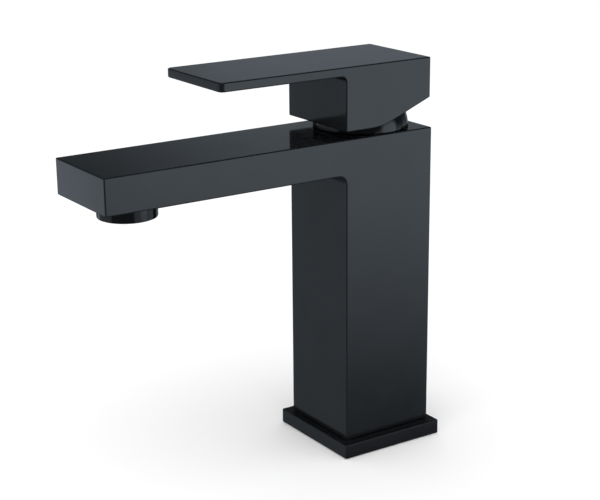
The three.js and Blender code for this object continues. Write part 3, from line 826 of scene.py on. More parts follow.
HOSE_THREAD = thread(4.95 * MM, 1.0 * MM, 0.5 * MM)
STUD_THREAD = thread(3.9 * MM, 1.25 * MM, 0.6 * MM)
STUD_PLACE = (0, 11 * MM, 0)
TAPPED_LENGTH = 12 * MM
aerator_low, aerator_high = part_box("aerator_housing")
aerator_centre = ((aerator_low.x + aerator_high.x) / 2, (aerator_low.y + aerator_high.y) / 2, 0)
hollow_half = (body_high.x - WALL, column_half - WALL)


def cartridge_bore():
    nut, floor, chamfer = NUT_BORE["radius"], NUT_BORE["floor"], NUT_BORE["chamfer"]
    top = body_high.z
    profile = [(0, SEAT), (CARTRIDGE_BORE, SEAT), (CARTRIDGE_BORE, floor), (nut, floor)]
    profile += [(nut, top - chamfer), (nut + chamfer, top), (nut + chamfer, top + WALL)]
    return turned("bore", profile + [(0, top + WALL)], sides=128)


def chamber_core():
    low = (-hollow_half[0], -hollow_half[1], CHAMBER["floor"])
    core = box("core", low, (*hollow_half, CHAMBER["roof"]), CORE_CORNER_RADIUS)
    ends = (CHAMBER["floor"] - MM, CHAMBER["roof"] + MM)
    return cut(core, *[rod("pipe", INLET["pipe"], *ends, at) for at in both_sides(INLET)])


def waterway_core():
    floor, roof, back = WATERWAY["floor"], WATERWAY["roof"], WATERWAY["back"]
    low = (-hollow_half[0], body_low.y + WALL, floor)
    core = box("waterway", low, (hollow_half[0], back, roof), CORE_CORNER_RADIUS)
    cut(core, rod("boss", BOSS["radius"], floor - MM, BOSS["top"], aerator_centre))
    radius = PASSAGE["radius"]
    inner = PASSAGE["x"] - radius + PASSAGE["overlap"]
    outer = hollow_half[0] - BEND_INSET
    corners = []
    for at, ends in zip(both_sides(PASSAGE), ((-outer, -inner), (inner, outer))):
        bend_low = (ends[0], back - 2 * MM, floor + BEND_INSET)
        bend_high = (ends[1], PASSAGE["y"], roof - BEND_INSET)
        corners.append(rod("passage", radius, CHAMBER["roof"] - 2 * MM, floor + MM, at))
        corners.append(box("bend", bend_low, bend_high))
    return join(core, *corners)


def seat_holes():
    top, pin_floor = SEAT + MM, SEAT - SEAT_PIN["depth"]
    holes = [rod("outlet", OUTLET["radius"], CHAMBER["roof"] - MM, top, (0, OUTLET["y"], 0))]
    for pin, inlet in zip(both_sides(SEAT_PIN), both_sides(INLET)):
        holes.append(rod("pin_hole", SEAT_PIN["radius"], pin_floor, top, pin, sides=32))
        holes.append(rod("inlet", INLET["radius"], TAPPED_LENGTH - MM, top, inlet))
    return holes


def foot_taps():
    taps = [screw_tap(HOSE_THREAD, TAPPED_LENGTH, at) for at in both_sides(INLET)]
    return taps + [screw_tap(STUD_THREAD, TAPPED_LENGTH, STUD_PLACE)]


def aerator_bore():
    radius, top, throat, chamfer = AERATOR_BORE.values()
    profile = [(0, spout_under - MM), (radius + chamfer, spout_under - MM)]
    profile += [(radius + chamfer, spout_under), (radius, spout_under + chamfer), (radius, top)]
    profile += [(throat, top), (throat, BOSS["top"] + MM), (0, BOSS["top"] + MM)]
    return turned("aerator_bore", profile, aerator_centre)


cut(body, cartridge_bore(), chamber_core(), waterway_core(), aerator_bore())
cut(body, *seat_holes(), *foot_taps())
dress(body, "faucet", "coated_brass", coat, "faucet_body")

# %% [markdown]
# ## Base plate and gasket
# A square plate with broken edges spreads the tap's load on the deck and hides the hole. A
# groove in its underside holds a square rubber gasket. The plate is milled from bar, so it is a
# block with its edges softened, and the column's foot and the groove cut out of it afterwards.

# %% Base plate and gasket
PLATE_EDGE = 0.32 * MM
PLATE_CORNER_RADIUS = 0.6 * MM
gasket_low, gasket_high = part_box("base_gasket")
GASKET_WIDTH = 2 * MM
GASKET_EDGE = 0.3 * MM
gasket_inner = gasket_high.x - GASKET_WIDTH


def square_ring(name, outer, inner, low, high, corner):
    ring = box(name, (-outer, -outer, low), (outer, outer, high), corner)
    inner_corner = max(corner - (outer - inner), 0.0)
    return cut(ring, box("hole", (-inner, -inner, low - MM), (inner, inner, high + MM), inner_corner))


def base_plate():
    plate = soften(box("deck_plate", plate_low, plate_high, PLATE_CORNER_RADIUS), PLATE_EDGE)
    x, y = (half + GAP for half in foot_half)
    outer, inner = gasket_high.x + GAP, gasket_inner - GAP
    groove = square_ring("groove", outer, inner, -MM, gasket_high.z + GAP, MM)
    return cut(plate, box("hole", (-x, -y, -MM), (x, y, plate_high.z + MM), MM), groove)


def base_gasket():
    heights = (gasket_low.z, gasket_high.z)
    return soften(square_ring("deck_gasket", gasket_high.x, gasket_inner, *heights, MM), GASKET_EDGE, 2)


dress(base_plate(), "faucet", "coated_brass", shaded_plate_coat, "base_plate")
dress(base_gasket(), "faucet", "rubber", rubber, "base_gasket")

# %% [markdown]
# ## Lever
# The lever is a die casting: a thin plate that grows out of a square block. Its side outline
# has the step under the plate with a small radius, the flat under the block, and the slope at
# the rear that lets the lever tip up without touching the column. The tip's upright corners are
# rounder than the rest, since fingers find them. A ball-shaped pocket clears the domed cap, with
# its centre on the joint that the lever tips about, so the gap stays even at every angle.

# %% Lever
lever_low, lever_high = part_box("lever_handle")
stem_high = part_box("lever_stem")[1]
screw_low, screw_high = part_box("handle_set_screw")
index_low, index_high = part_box("temperature_index")
PIVOT = pivot["handle_lift"]
LEVER_THICKNESS = 3.8 * MM
BLOCK_FRONT = -22.4 * MM
BLOCK_REAR_RISE = 9.7 * MM  # from the flat under the block to the foot of its rear face
REAR_SLOPE = math.radians(21.5)
STEP_RADIUS = 2.5 * MM
BEND_RADIUS = 30 * MM
TIP_CORNER_RADIUS = 2.2 * MM
CLOSE = 0.01 * MM  # a point this near to a face lies on it
CAP_RADIUS = 20.4 * MM
POCKET_RADIUS = CAP_RADIUS + 0.4 * MM
STEM = {"half": 4 * MM, "tilt": math.radians(12.5)}
SOCKET = {"half": STEM["half"] + 0.25 * MM, "headroom": 0.4 * MM, "corner": 0.6 * MM}
HUB = {"radius": 7 * MM, "below": 12.5 * MM, "overlap": 1.5 * MM}  # below is above the pivot
TAPPING_GAP = 0.3 * MM
screw_place = (0, 0, (screw_low.z + screw_high.z) / 2)
index_radius = (index_high.x - index_low.x) / 2


def lever_outside():
    under = lever_high.z - LEVER_THICKNESS
    bottom, rear, tip = lever_low.z, lever_high.y, lever_low.y
    corners = [
        (tip, under),
        (BLOCK_FRONT, under),
        (BLOCK_FRONT, bottom),
        (rear - BLOCK_REAR_RISE / math.tan(REAR_SLOPE), bottom),
        (rear, bottom + BLOCK_REAR_RISE),
        (rear, lever_high.z),
        (tip, lever_high.z),
    ]
    outline = rounded(corners, [0, STEP_RADIUS, 0, BEND_RADIUS, 0, 0, 0])

    def upright_at_tip(middle, edge):
        rise = abs(edge.verts[0].co.z - edge.verts[1].co.z)
        return abs(middle.y - tip) < CLOSE and rise > MM

    outside = prism("lever", outline, "X", lever_low.x, lever_high.x)
    return soften(round_edges(outside, upright_at_tip, TIP_CORNER_RADIUS, 8), EDGE)


def ball(name, radius, centre, sides=96):
    profile = arc(radius, -math.pi / 2, math.pi, sides // 2)
    profile[0], profile[-1] = (0, -radius), (0, radius)
    return turned(name, profile, centre, sides=sides)


def tipped(obj):
    """Turns a piece made upright on the pivot to the stem's own tilt."""
    obj.data.transform(Matrix.Translation(PIVOT) @ Matrix.Rotation(STEM["tilt"], 4, "X"))
    return obj


def lever():
    blank = cut(lever_outside(), ball("pocket", POCKET_RADIUS, PIVOT, 128))
    hub_low, half = HUB["below"], SOCKET["half"]
    join(blank, tipped(rod("hub", HUB["radius"], hub_low, POCKET_RADIUS + HUB["overlap"])))
    socket_high = (half, half, stem_high.z - PIVOT.z + SOCKET["headroom"])
    socket = tipped(box("socket", (-half, -half, hub_low - MM), socket_high, SOCKET["corner"]))
    radius, behind = screw_high.x + TAPPING_GAP, lever_high.y + MM
    tapping = rod("tapping", radius, screw_low.y - MM, behind, screw_place, "Y")
    seat = rod("index_seat", index_radius + GAP, index_low.y - GAP, behind, screw_place, "Y")
    return cut(blank, socket, tapping, seat)


dress(lever(), "lever", "coated_zinc", coat, "lever_handle")

# %% [markdown]
# ## Domed cap
# Between body and lever sits a spun cap, a slice of a ball. It covers the nut, and because the
# lever tips about the ball's centre the cap fills the gap at every angle. It is turned from a
# profile whose foot and mouth are rounded over, as spun sheet is.

# %% Domed cap
CAP_WALL = 1.8 * MM
CAP_MOUTH_RADIUS = 12 * MM
CAP_STEPS = 24
CAP_EDGE = 0.3 * MM
cap_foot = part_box("domed_cap")[0].z - PIVOT.z


def domed_cap():
    profile = []
    for radius, order in ((CAP_RADIUS, 1), (CAP_RADIUS - CAP_WALL, -1)):
        start, end = (math.asin(cap_foot / radius), math.acos(CAP_MOUTH_RADIUS / radius))[::order]
        profile += arc(radius, start, end - start, CAP_STEPS)
    return soften(turned("domed_cover", profile, PIVOT, sides=128), CAP_EDGE, angle=40)


dress(domed_cap(), "faucet", "coated_brass", gloss_coat, "domed_cap")

# %% [markdown]
# ## Index plug
# A small plug closes the hole over the set screw in the lever's back face. One half is red and
# the other blue, for the sides that hot and cold are on. It is turned with a slight crown.

# %% Index plug
INDEX_CROWN = 0.35 * MM
INDEX_EDGE = 0.12 * MM
CROWN_STEPS = (0.97, 0.8, 0.6, 0.4, 0.2)  # shares of the radius, from the rim inwards


def index_plug():
    radius, front = index_radius, index_high.y
    profile = [(0, index_low.y), (radius, index_low.y), (radius, front - INDEX_CROWN)]
    profile += [(radius * s, front - INDEX_CROWN * s * s) for s in CROWN_STEPS]
    at = (0, 0, (index_low.z + index_high.z) / 2)
    return soften(turned("index_plug", profile + [(0, front)], at, "Y"), INDEX_EDGE, 2)


dress(index_plug(), "lever", "red_plastic", index_colours, "temperature_index")

# %% [markdown]
# ## Aerator
# The aerator screws up into the spout. Its housing is turned, threaded where it is inside the
# spout, with a rolled lip round the mouth. Inside, from the mouth up, are the honeycomb that
# straightens the stream, a regulator with a ring of jets, a woven wire screen and a washer.

# %% Aerator housing
insert_low, insert_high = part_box("aerator_insert")
AERATOR_THREAD = thread(10.8 * MM, 1.0 * MM, 0.45 * MM)
AERATOR_LIP_RADIUS = 8.7 * MM
AERATOR_EDGE = 0.3 * MM
AERATOR_RUNOUT = 0.4 * MM  # from the flange up to where the thread starts
LIP_CHAMFER, LIP_BEVEL = 0.5 * MM, 0.15 * MM
INSERT_BORE = insert_high.x + 0.3 * MM


def aerator_housing():
    outer, bottom, top = aerator_high.x, aerator_low.z, aerator_high.z
    foot, ledge = spout_under - GAP, insert_low.z - GAP
    chamfer, bevel, lip = LIP_CHAMFER, LIP_BEVEL, AERATOR_LIP_RADIUS
    profile = [(lip, bottom + chamfer), (lip + chamfer, bottom), (outer - chamfer, bottom)]
    profile += [(outer - bevel, bottom + bevel), (outer, bottom + chamfer)]
    profile += [(outer, foot - AERATOR_EDGE), (outer - AERATOR_EDGE, foot)]
    profile += [(AERATOR_THREAD["Outer radius"], foot)]
    profile += thread_rows(AERATOR_THREAD, foot + AERATOR_RUNOUT, top)
    profile += [(INSERT_BORE, top), (INSERT_BORE, ledge), (lip, ledge)]
    housing = turned("aerator_shell", profile, aerator_centre)
    low = foot + AERATOR_RUNOUT
    return threaded(housing, gloss_coat, AERATOR_THREAD, low, top, aerator_centre)


dress(aerator_housing(), "faucet", "coated_brass", gloss_coat, "aerator_housing")

# %% [markdown]
# ### Honeycomb, jets and screen
# The honeycomb, the ring of jets and the woven screen all repeat one small shape by a rule, so
# Geometry Nodes lay them out. A hexagonal grid is a square one sheared by half a cell a row, with
# its two far corners left out. The jets stand on a circle. Both trees make the cutters, which are
# then taken out of a turned plate. A woven wire is a straight line lifted by a cosine whose sign
# changes from one wire to the next, and the second set is the first set turned and inverted.

# %% Trees for cells, jets and wires
CELL = {"Rings": 2, "Pitch": 3.5 * MM, "Across flats": 2.9 * MM}
JET = {"Count": 8, "Circle radius": 6 * MM, "Jet radius": 1.3 * MM, "Length": 4 * MM}
WIRE = {"Spacing": 1.0 * MM, "Wire radius": 0.13 * MM}
STEPS_PER_WIRE = 5  # from one crossing to the next


def cell_tree():
    tree, given = new_tree("hexagon_cells", {**CELL, "Length": 10 * MM})
    rings, pitch = given["Rings"], given["Pitch"]
    side = rings.maths("MULTIPLY_ADD", 2.0, 1.0)
    index = out(tree, "GeometryNodeInputIndex")
    row = index.maths("MODULO", side) - rings
    column = (index / side).maths("FLOOR") - rings
    x = row.maths("MULTIPLY_ADD", 0.5, column) * pitch
    y = row * (math.sqrt(3) / 2) * pitch
    many = out(tree, "GeometryNodeMeshLine", {"Count": side * side})
    grid = {"Geometry": many, "Position": vector(tree, x, y)}
    radius = given["Across flats"] / math.sqrt(3)
    hexagonal = {"Vertices": 6, "Radius": radius, "Depth": given["Length"]}
    cells = {
        "Points": out(tree, "GeometryNodeSetPosition", grid),
        "Selection": compare(tree, (row + column).maths("ABSOLUTE"), "LESS_THAN", rings + 0.5),
        "Instance": out(tree, "GeometryNodeMeshCylinder", hexagonal),
        "Rotation": (0, 0, math.pi / 6),
    }
    return placed(tree, given, out(tree, "GeometryNodeInstanceOnPoints", cells))


def jet_tree():
    tree, given = new_tree("ring_of_jets", JET)
    circle = {"Vertices": given["Count"], "Radius": given["Circle radius"]}
    jet = {"Vertices": 24, "Radius": given["Jet radius"], "Depth": given["Length"]}
    jets = {
        "Points": out(tree, "GeometryNodeMeshCircle", circle),
        "Instance": out(tree, "GeometryNodeMeshCylinder", jet),
    }
    return placed(tree, given, out(tree, "GeometryNodeInstanceOnPoints", jets))


def weave_tree():
    tree, given = new_tree("woven_wire", {**WIRE, "Radius": 10 * MM})
    radius, spacing, thickness = given["Radius"], given["Spacing"], given["Wire radius"]
    each_side = (radius / spacing).maths("FLOOR")
    line = {
        "Count": each_side.maths("MULTIPLY_ADD", 2.0, 1.0),
        "Start Location": vector(tree, 0.0, each_side * spacing * -1.0),
        "Offset": vector(tree, 0.0, spacing),
    }
    x, y, _ = parts(tree, out(tree, "GeometryNodeInputPosition"))
    chord = (radius * radius - y * y).maths("SQRT")
    unit = {"Start": (-1, 0, 0), "End": (1, 0, 0)}
    wires = {
        "Points": out(tree, "GeometryNodeMeshLine", line),
        "Instance": out(tree, "GeometryNodeCurvePrimitiveLine", unit),
        "Scale": vector(tree, chord, 1.0, 1.0),
    }
    laid = {"Geometry": out(tree, "GeometryNodeInstanceOnPoints", wires)}
    step = spacing * (1 / STEPS_PER_WIRE)
    fine = {"Curve": out(tree, "GeometryNodeRealizeInstances", laid), "Length": step}
    first = out(tree, "GeometryNodeResampleCurve", fine, mode="LENGTH")
    crossing = {"Geometry": first, "Rotation": (0, 0, math.pi / 2)}
    second = out(tree, "GeometryNodeTransform", crossing)
    wave = ((x + y) / spacing * math.pi).maths("COSINE")
    both = add_node(tree, "GeometryNodeJoinGeometry")
    for layer, sign in ((first, 1.0), (second, -1.0)):
        lifted = {"Geometry": layer, "Offset": vector(tree, 0.0, 0.0, wave * thickness * sign)}
        plug(both, {0: out(tree, "GeometryNodeSetPosition", lifted)})
    section = out(tree, "GeometryNodeCurvePrimitiveCircle", {"Resolution": 6, "Radius": thickness})
    swept = {"Curve": Value(both.outputs[0]), "Profile Curve": section, "Fill Caps": True}
    return placed(tree, given, out(tree, "GeometryNodeCurveToMesh", swept))


CELLS, JETS, WEAVE = cell_tree(), jet_tree(), weave_tree()
print("trees:", [tree.name for tree in bpy.data.node_groups])

# %% Honeycomb, regulator, screen and washer
HONEYCOMB_RIM, HONEYCOMB_EDGE = 0.5 * MM, 0.1 * MM
RECESS = {"depth": 0.4 * MM, "half": 2 * MM, "slope": 0.5 * MM}
HUB_DISC = {"radius": 3.2 * MM, "dish": 0.1 * MM, "dish_share": 0.7}
JET_DISC_EDGE = 0.08 * MM
SCREEN_RIM, SCREEN_EDGE = 0.9 * MM, 0.15 * MM
WASHER_INNER_RADIUS = 8.9 * MM


def on_aerator(low, high):
    """The middle of the aerator's axis between two corners of a piece's box."""
    return (aerator_centre[0], aerator_centre[1], (low.z + high.z) / 2)


def honeycomb():
    low, high = insert_low.z, insert_high.z
    profile = chamfered(insert_high.x, low, high, HONEYCOMB_RIM)
    plate = turned("honeycomb", profile, aerator_centre)
    sizes = {**CELL, "Length": high - low + 2 * MM}
    cells = from_tree("cells", CELLS, grey_acetal, on_aerator(insert_low, insert_high), sizes)
    return soften(cut(plate, cells), HONEYCOMB_EDGE, 1)


def jet_disc():
    low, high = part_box("flow_regulator")
    radius, middle, recess = high.x, HUB_DISC["radius"], RECESS["depth"]
    inner, outer = (JET["Circle radius"] + side * RECESS["half"] for side in (-1, 1))
    rim = outer + RECESS["slope"]
    profile = [(0, low.z + HUB_DISC["dish"]), (middle * HUB_DISC["dish_share"], low.z)]
    profile += [(middle, low.z), (inner, low.z + recess), (outer, low.z + recess), (rim, low.z)]
    profile += [(radius, low.z), (radius, high.z), (rim, high.z), (outer, high.z - recess)]
    profile += [(inner, high.z - recess), (middle, high.z), (0, high.z)]
    disc = soften(turned("jet_disc", profile, aerator_centre), JET_DISC_EDGE, 2)
    return cut(disc, from_tree("jets", JETS, white_acetal, on_aerator(low, high), JET))


def wire_screen():
    low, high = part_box("aerator_screen")
    inner, outer = high.x - SCREEN_RIM, high.x
    sizes = {**WIRE, "Radius": (inner + outer) / 2}
    wires = from_tree("wires", WEAVE, steel, on_aerator(low, high), sizes)
    profile = [(inner, low.z), (outer, low.z), (outer, high.z), (inner, high.z)]
    screen = soften(turned("wire_screen", profile, aerator_centre), SCREEN_EDGE, 2)
    remesh(screen, lambda bm: bm.from_mesh(wires.data))
    bpy.data.objects.remove(wires)
    return screen


dress(honeycomb(), "faucet", "grey_plastic", grey_acetal, "aerator_insert")
dress(jet_disc(), "faucet", "white_plastic", white_acetal, "flow_regulator")
dress(wire_screen(), "faucet", "steel", steel, "aerator_screen")

# %% [markdown]
# ## Seals
# Every seal is a rubber section carried round a circle: round for an O-ring, and square with
# eased corners where it is pressed between two faces. One tree makes both, because a square
# whose corners are rounded to half its side is a circle. Each ring takes its place and size from
# the engineering model's own ring.

# %% Rubber rings
SEAL_WIDTH, SEAL_CORNER = 1.6 * MM, 0.25 * MM
SQUARE_SECTION = {"Width": SEAL_WIDTH, "Height": SEAL_WIDTH, "Corner": SEAL_CORNER}


def seal_tree():
    tree, given = new_tree("rubber_ring", {"Radius": 10 * MM, **SQUARE_SECTION})
    path = {"Resolution": 96, "Radius": given["Radius"]}
    square = {"Width": given["Width"], "Height": given["Height"]}
    eased = {
        "Curve": out(tree, "GeometryNodeCurvePrimitiveQuadrilateral", square),
        "Count": 5,
        "Radius": given["Corner"],
        "Limit Radius": True,
    }
    swept = {
        "Curve": out(tree, "GeometryNodeCurvePrimitiveCircle", path),
        "Profile Curve": out(tree, "GeometryNodeFilletCurve", eased, mode="POLY"),
    }
    return placed(tree, given, out(tree, "GeometryNodeCurveToMesh", swept))


SEAL = seal_tree()


def rubber_ring(name, cad_name, width=None, corner=SEAL_CORNER):
    """A ring in place of the model's own. Without a width it is an O-ring."""
    low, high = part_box(cad_name)
    height = high.z - low.z
    width = width or height
    radius = (high.x - low.x) / 2 - width / 2
    sizes = {"Radius": radius, "Width": width, "Height": height, "Corner": corner}
    ring = remesh(from_tree(name, SEAL, rubber, (low + high) / 2, sizes), weld)
    return dress(ring, "faucet", "rubber", rubber, cad_name)


for side in ("hot", "cold", "outlet"):
    rubber_ring(f"{side}_seat_ring", f"{side}_port_seal", SEAL_WIDTH)
    rubber_ring(f"{side}_disc_ring", f"{side}_disc_seal", SEAL_WIDTH)
rubber_ring("housing_ring", "housing_o_ring", corner=MM)
rubber_ring("cap_ring", "cap_o_ring", corner=MM)
washer_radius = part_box("aerator_washer")[1].x
rubber_ring("spout_washer", "aerator_washer", washer_radius - WASHER_INNER_RADIUS)

# %% [markdown]
# ## Cartridge
# The cartridge is what makes this a tap. Its base stands on the seat and seals three ports. The
# fixed disc lies on it and the moving disc slides and turns on top, carried by a slider that the
# lever's ball pushes. All of that turns inside a housing whose wall holds an O-ring. These are
# lathe and mould shapes, so they are turned or extruded, and then cut. Four clips on the base
# snap into windows in the housing's wall. Heights are above the seat.

# %% Cartridge: shared sizes
PLUG_RADIUS = 14.9 * MM
CLIP = {"low": 3.5 * MM, "high": 4.7 * MM, "width": 4.4 * MM, "reach": 16.7 * MM}
CLIP_CORNER_RADIUS = 0.4 * MM
ROOM = 0.3 * MM  # round a piece that turns or snaps in
BASE_TOP = 5.6 * MM
FLANGE = {"radius": 17.2 * MM, "bottom": 0.4 * MM, "top": 2.4 * MM}
GROOVE = {"depth": 1.2 * MM, "room": 0.4 * MM}
NECK = {"inner": 11.1 * MM, "outer": 12.6 * MM}
DISC_INLET = {"x": 4.5 * MM, "y": -5.4 * MM, "radius": 2.2 * MM}
DISC_OUTLET = {"y": 6.2 * MM, "radius": 3.6 * MM}
MOULDED_EDGE = 0.2 * MM


def above_seat(height):
    return SEAT + height


def spun(name, points, centre=(0, 0, 0), sides=128):
    """A turned piece, from points whose heights are above the seat."""
    profile = [(radius, above_seat(height)) for radius, height in points]
    return turned(name, profile, centre, sides=sides)


def ports(inlet, outlet):
    """The three water ports as a place and a radius."""
    inlets = [(at, inlet["radius"]) for at in both_sides(inlet)]
    return inlets + [((0, outlet["y"], 0), outlet["radius"])]


def grooved_ports(places, mouth, groove_floor, end):
    """Cutters for ports with a seal's groove round their mouths."""
    cutters = []
    for at, radius in places:
        groove = radius + SEAL_WIDTH + GROOVE["room"]
        profile = [(0, mouth), (groove, mouth), (groove, groove_floor), (radius, groove_floor)]
        cutters.append(spun("grooved_port", profile + [(radius, end), (0, end)], at, 40))
    return cutters


def round_the_wall(low, high, width, inner, outer):
    """Four blocks that cross a round wall at its diagonals."""
    blocks = []
    for k in range(4):
        block_low = (inner, -width / 2, above_seat(low))
        block_high = (outer, width / 2, above_seat(high))
        block = box("clip", block_low, block_high, CLIP_CORNER_RADIUS)
        block.data.transform(Matrix.Rotation(math.pi / 4 + k * math.pi / 2, 4, "Z"))
        blocks.append(block)
    return blocks


seat_ports = ports(INLET, OUTLET)
disc_ports = ports(DISC_INLET, DISC_OUTLET)
print("ports:", len(seat_ports), "in the seat and", len(disc_ports), "in the fixed disc")

# %% Cartridge: base and housing
PORT_LAP = 0.4 * MM  # by which the two halves of a port overlap
HOUSING = {"roof": 22.6 * MM, "shoulder": 24.6 * MM}
HOUSING_GROOVE = {"low": 18 * MM, "high": 20 * MM, "floor": 16 * MM}


def cartridge_base():
    radius, bottom, top = FLANGE["radius"], FLANGE["bottom"], FLANGE["top"]
    profile = [(0, bottom), (radius, bottom), (radius, top), (PLUG_RADIUS, top)]
    made = spun("cartridge_base_moulding", profile + [(PLUG_RADIUS, BASE_TOP), (0, BASE_TOP)])
    pin_ends = (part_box("cartridge_base")[0].z, above_seat(MM))
    pin_radius = SEAT_PIN["radius"] - ROOM
    pins = [rod("pin", pin_radius, *pin_ends, at, sides=32) for at in both_sides(SEAT_PIN)]
    clips = round_the_wall(CLIP["low"], CLIP["high"], CLIP["width"], PLUG_RADIUS - MM, CLIP["reach"])
    join(soften(made, MOULDED_EDGE, 2), *pins, *clips)
    middle, depth = (bottom + BASE_TOP) / 2, GROOVE["depth"]
    cut(made, *grooved_ports(seat_ports, -MM, bottom + depth, middle + PORT_LAP))
    return cut(made, *grooved_ports(disc_ports, BASE_TOP + MM, BASE_TOP - depth, middle - PORT_LAP))


def cartridge_housing():
    box_low, box_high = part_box("cartridge_housing")
    low, high, wall = box_low.z - SEAT, box_high.z - SEAT, box_high.x
    inner, roof, shoulder = PLUG_RADIUS + ROOM, HOUSING["roof"], HOUSING["shoulder"]
    groove_low, groove_high, groove_floor = HOUSING_GROOVE.values()
    profile = [(inner, low), (wall, low), (wall, groove_low), (groove_floor, groove_low)]
    profile += [(groove_floor, groove_high), (wall, groove_high), (wall, shoulder)]
    profile += [(NECK["outer"], shoulder), (NECK["outer"], high), (NECK["inner"], high)]
    made = spun("cartridge_shell", profile + [(NECK["inner"], roof), (inner, roof)])
    window = (CLIP["low"] - ROOM, CLIP["high"] + ROOM, CLIP["width"] + 2 * ROOM)
    cut(made, *round_the_wall(*window, inner - MM, wall + MM))
    return soften(made, MOULDED_EDGE, 2, 40)


dress(cartridge_base(), "faucet", "white_plastic", white_acetal, "cartridge_base")
dress(cartridge_housing(), "faucet", "white_plastic", white_acetal, "cartridge_housing")

# %% Cartridge: the two ceramic discs and the slider
DISC_CHAMFER = 0.2 * MM
KEYWAY_RADIUS = 1.3 * MM
POCKET = {"hub": 4.5 * MM, "lobe": 8.6 * MM, "half_angle": math.radians(50), "depth": 2 * MM}
SLIDER = {"top": 15 * MM, "half": (8 * MM, 7.5 * MM), "corner": 0.6 * MM}
BALL_SOCKET = {"radius": 3.3 * MM, "depth": 15 * MM}  # the depth is below the pivot
BLOCK_EDGE = 0.3 * MM
moving_low, moving_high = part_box("moving_ceramic_disc")
disc_y = (moving_low.y + moving_high.y) / 2  # the slider's place with the tap closed


def lapped_disc(name, low, high, y=0):
    profile = chamfered((high.y - low.y) / 2, low.z, high.z, DISC_CHAMFER)
    return turned(name, profile, (0, y, 0), sides=128)


def fixed_disc():
    low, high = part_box("fixed_ceramic_disc")
    ends = (low.z - MM, high.z + MM)
    keys = both_sides({"x": high.y, "y": 0})
    keyways = [rod("keyway", KEYWAY_RADIUS, *ends, at, sides=32) for at in keys]
    holes = [rod("port", radius, *ends, at, sides=48) for at, radius in disc_ports]
    return cut(lapped_disc("lower_ceramic_disc", low, high), *keyways, *holes)


def moving_disc():
    """The pocket underneath lets the inlets reach the outlet when the disc slides forward."""
    outline = []
    half = POCKET["half_angle"]
    lobe = (POCKET["lobe"], math.pi / 2 - half, 2 * half)
    hub = (POCKET["hub"], math.pi / 2 + half, 2 * (math.pi - half))
    for radius, start, sweep in (lobe, hub):
        outline += arc(radius, start, sweep, math.ceil(sweep / ARC_STEP))
    pocket = prism("pocket", outline, "Z", moving_low.z - MM, moving_low.z + POCKET["depth"])
    return cut(lapped_disc("upper_ceramic_disc", moving_low, moving_high, disc_y), pocket)


def slider():
    low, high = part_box("disc_carrier")
    top, (x, y), at = above_seat(SLIDER["top"]), SLIDER["half"], (0, disc_y, 0)
    plate = rod("disc_slider", moving_high.x, low.z, top, at, sides=128)
    block_low = (-x, disc_y - y, top - MM / 2)
    join(plate, box("block", block_low, (x, disc_y + y, high.z), SLIDER["corner"]))
    soften(plate, BLOCK_EDGE, 2)
    floor = PIVOT.z - BALL_SOCKET["depth"]
    return cut(plate, rod("socket", BALL_SOCKET["radius"], floor, high.z + MM, at, sides=48))


dress(fixed_disc(), "faucet", "ceramic", ceramic, "fixed_ceramic_disc")
dress(moving_disc(), "disc", "ceramic", ceramic, "moving_ceramic_disc")
dress(slider(), "disc", "grey_plastic", grey_acetal, "disc_carrier")

# %% Cartridge: spindle, pin and stop ring
PIN_HOLE_RADIUS = 1.7 * MM
PIN_CHAMFER = 0.3 * MM
SPINDLE_SHOULDER = 22.3 * MM
SLIDE = {"half": 8.25 * MM, "top": 20 * MM}
STEM_SLOT = (4.4 * MM, 6.6 * MM)  # half its width and half its length
STOP = {"ring": 1.7 * MM, "half": 2.5 * MM, "inset": 0.3 * MM, "clear": 0.05 * MM}
STOP_EDGE = 0.15 * MM


def spindle():
    low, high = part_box("spindle_carrier")
    shoulder, top = above_seat(SPINDLE_SHOULDER), above_seat(SLIDE["top"])
    neck, reach, half = NECK["inner"] - ROOM, PLUG_RADIUS + MM, SLIDE["half"]
    profile = [(0, low.z), (PLUG_RADIUS, low.z), (PLUG_RADIUS, shoulder), (neck, shoulder)]
    made = turned("turning_spindle", profile + [(neck, high.z), (0, high.z)], sides=128)
    soften(made, BLOCK_EDGE, 2)
    slide = box("slide", (-half, -reach, low.z - MM), (half, reach, top))
    x, y = STEM_SLOT
    slot = box("slot", (-x, -y, top - MM), (x, y, high.z + MM), MM)
    return cut(made, slide, slot, rod("bore", PIN_HOLE_RADIUS, -reach, reach, (0, 0, PIVOT.z), "X", 32))


def pin():
    low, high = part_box("pivot_pin")
    profile = chamfered((high.z - low.z) / 2, low.x, high.x, PIN_CHAMFER)
    return turned("cross_pin", profile, (0, 0, PIVOT.z), "X", 48)


def stop_ring():
    low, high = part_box("hot_limit_ring")
    inner, outer, half = NECK["inner"], NECK["outer"], STOP["half"]
    top = low.z + STOP["ring"]
    made = turned("stop_ring", [(inner, low.z), (outer, low.z), (outer, top), (inner, top)], sides=128)
    stop_low = (-outer + STOP["inset"], -half, low.z)
    join(made, box("stop", stop_low, (-inner - STOP["clear"], half, high.z)))
    return soften(made, STOP_EDGE, 2, 40)


dress(spindle(), "spindle", "grey_plastic", grey_acetal, "spindle_carrier")
dress(pin(), "spindle", "steel", steel, "pivot_pin")
dress(stop_ring(), "faucet", "red_plastic", red_acetal, "hot_limit_ring")

# %% [markdown]
# ## Nut, stem and set screw
# The nut screws into the body and presses the housing's shoulder down. Its crown is a hexagon
# whose corners are turned off to a cone, as on any nut. The stem is a square brass bar with an
# eye for the pin and a ball at its foot, made upright and then tipped to its closed angle. The
# set screw is a short thread with a hexagon socket, made upright like every thread and then laid
# down.

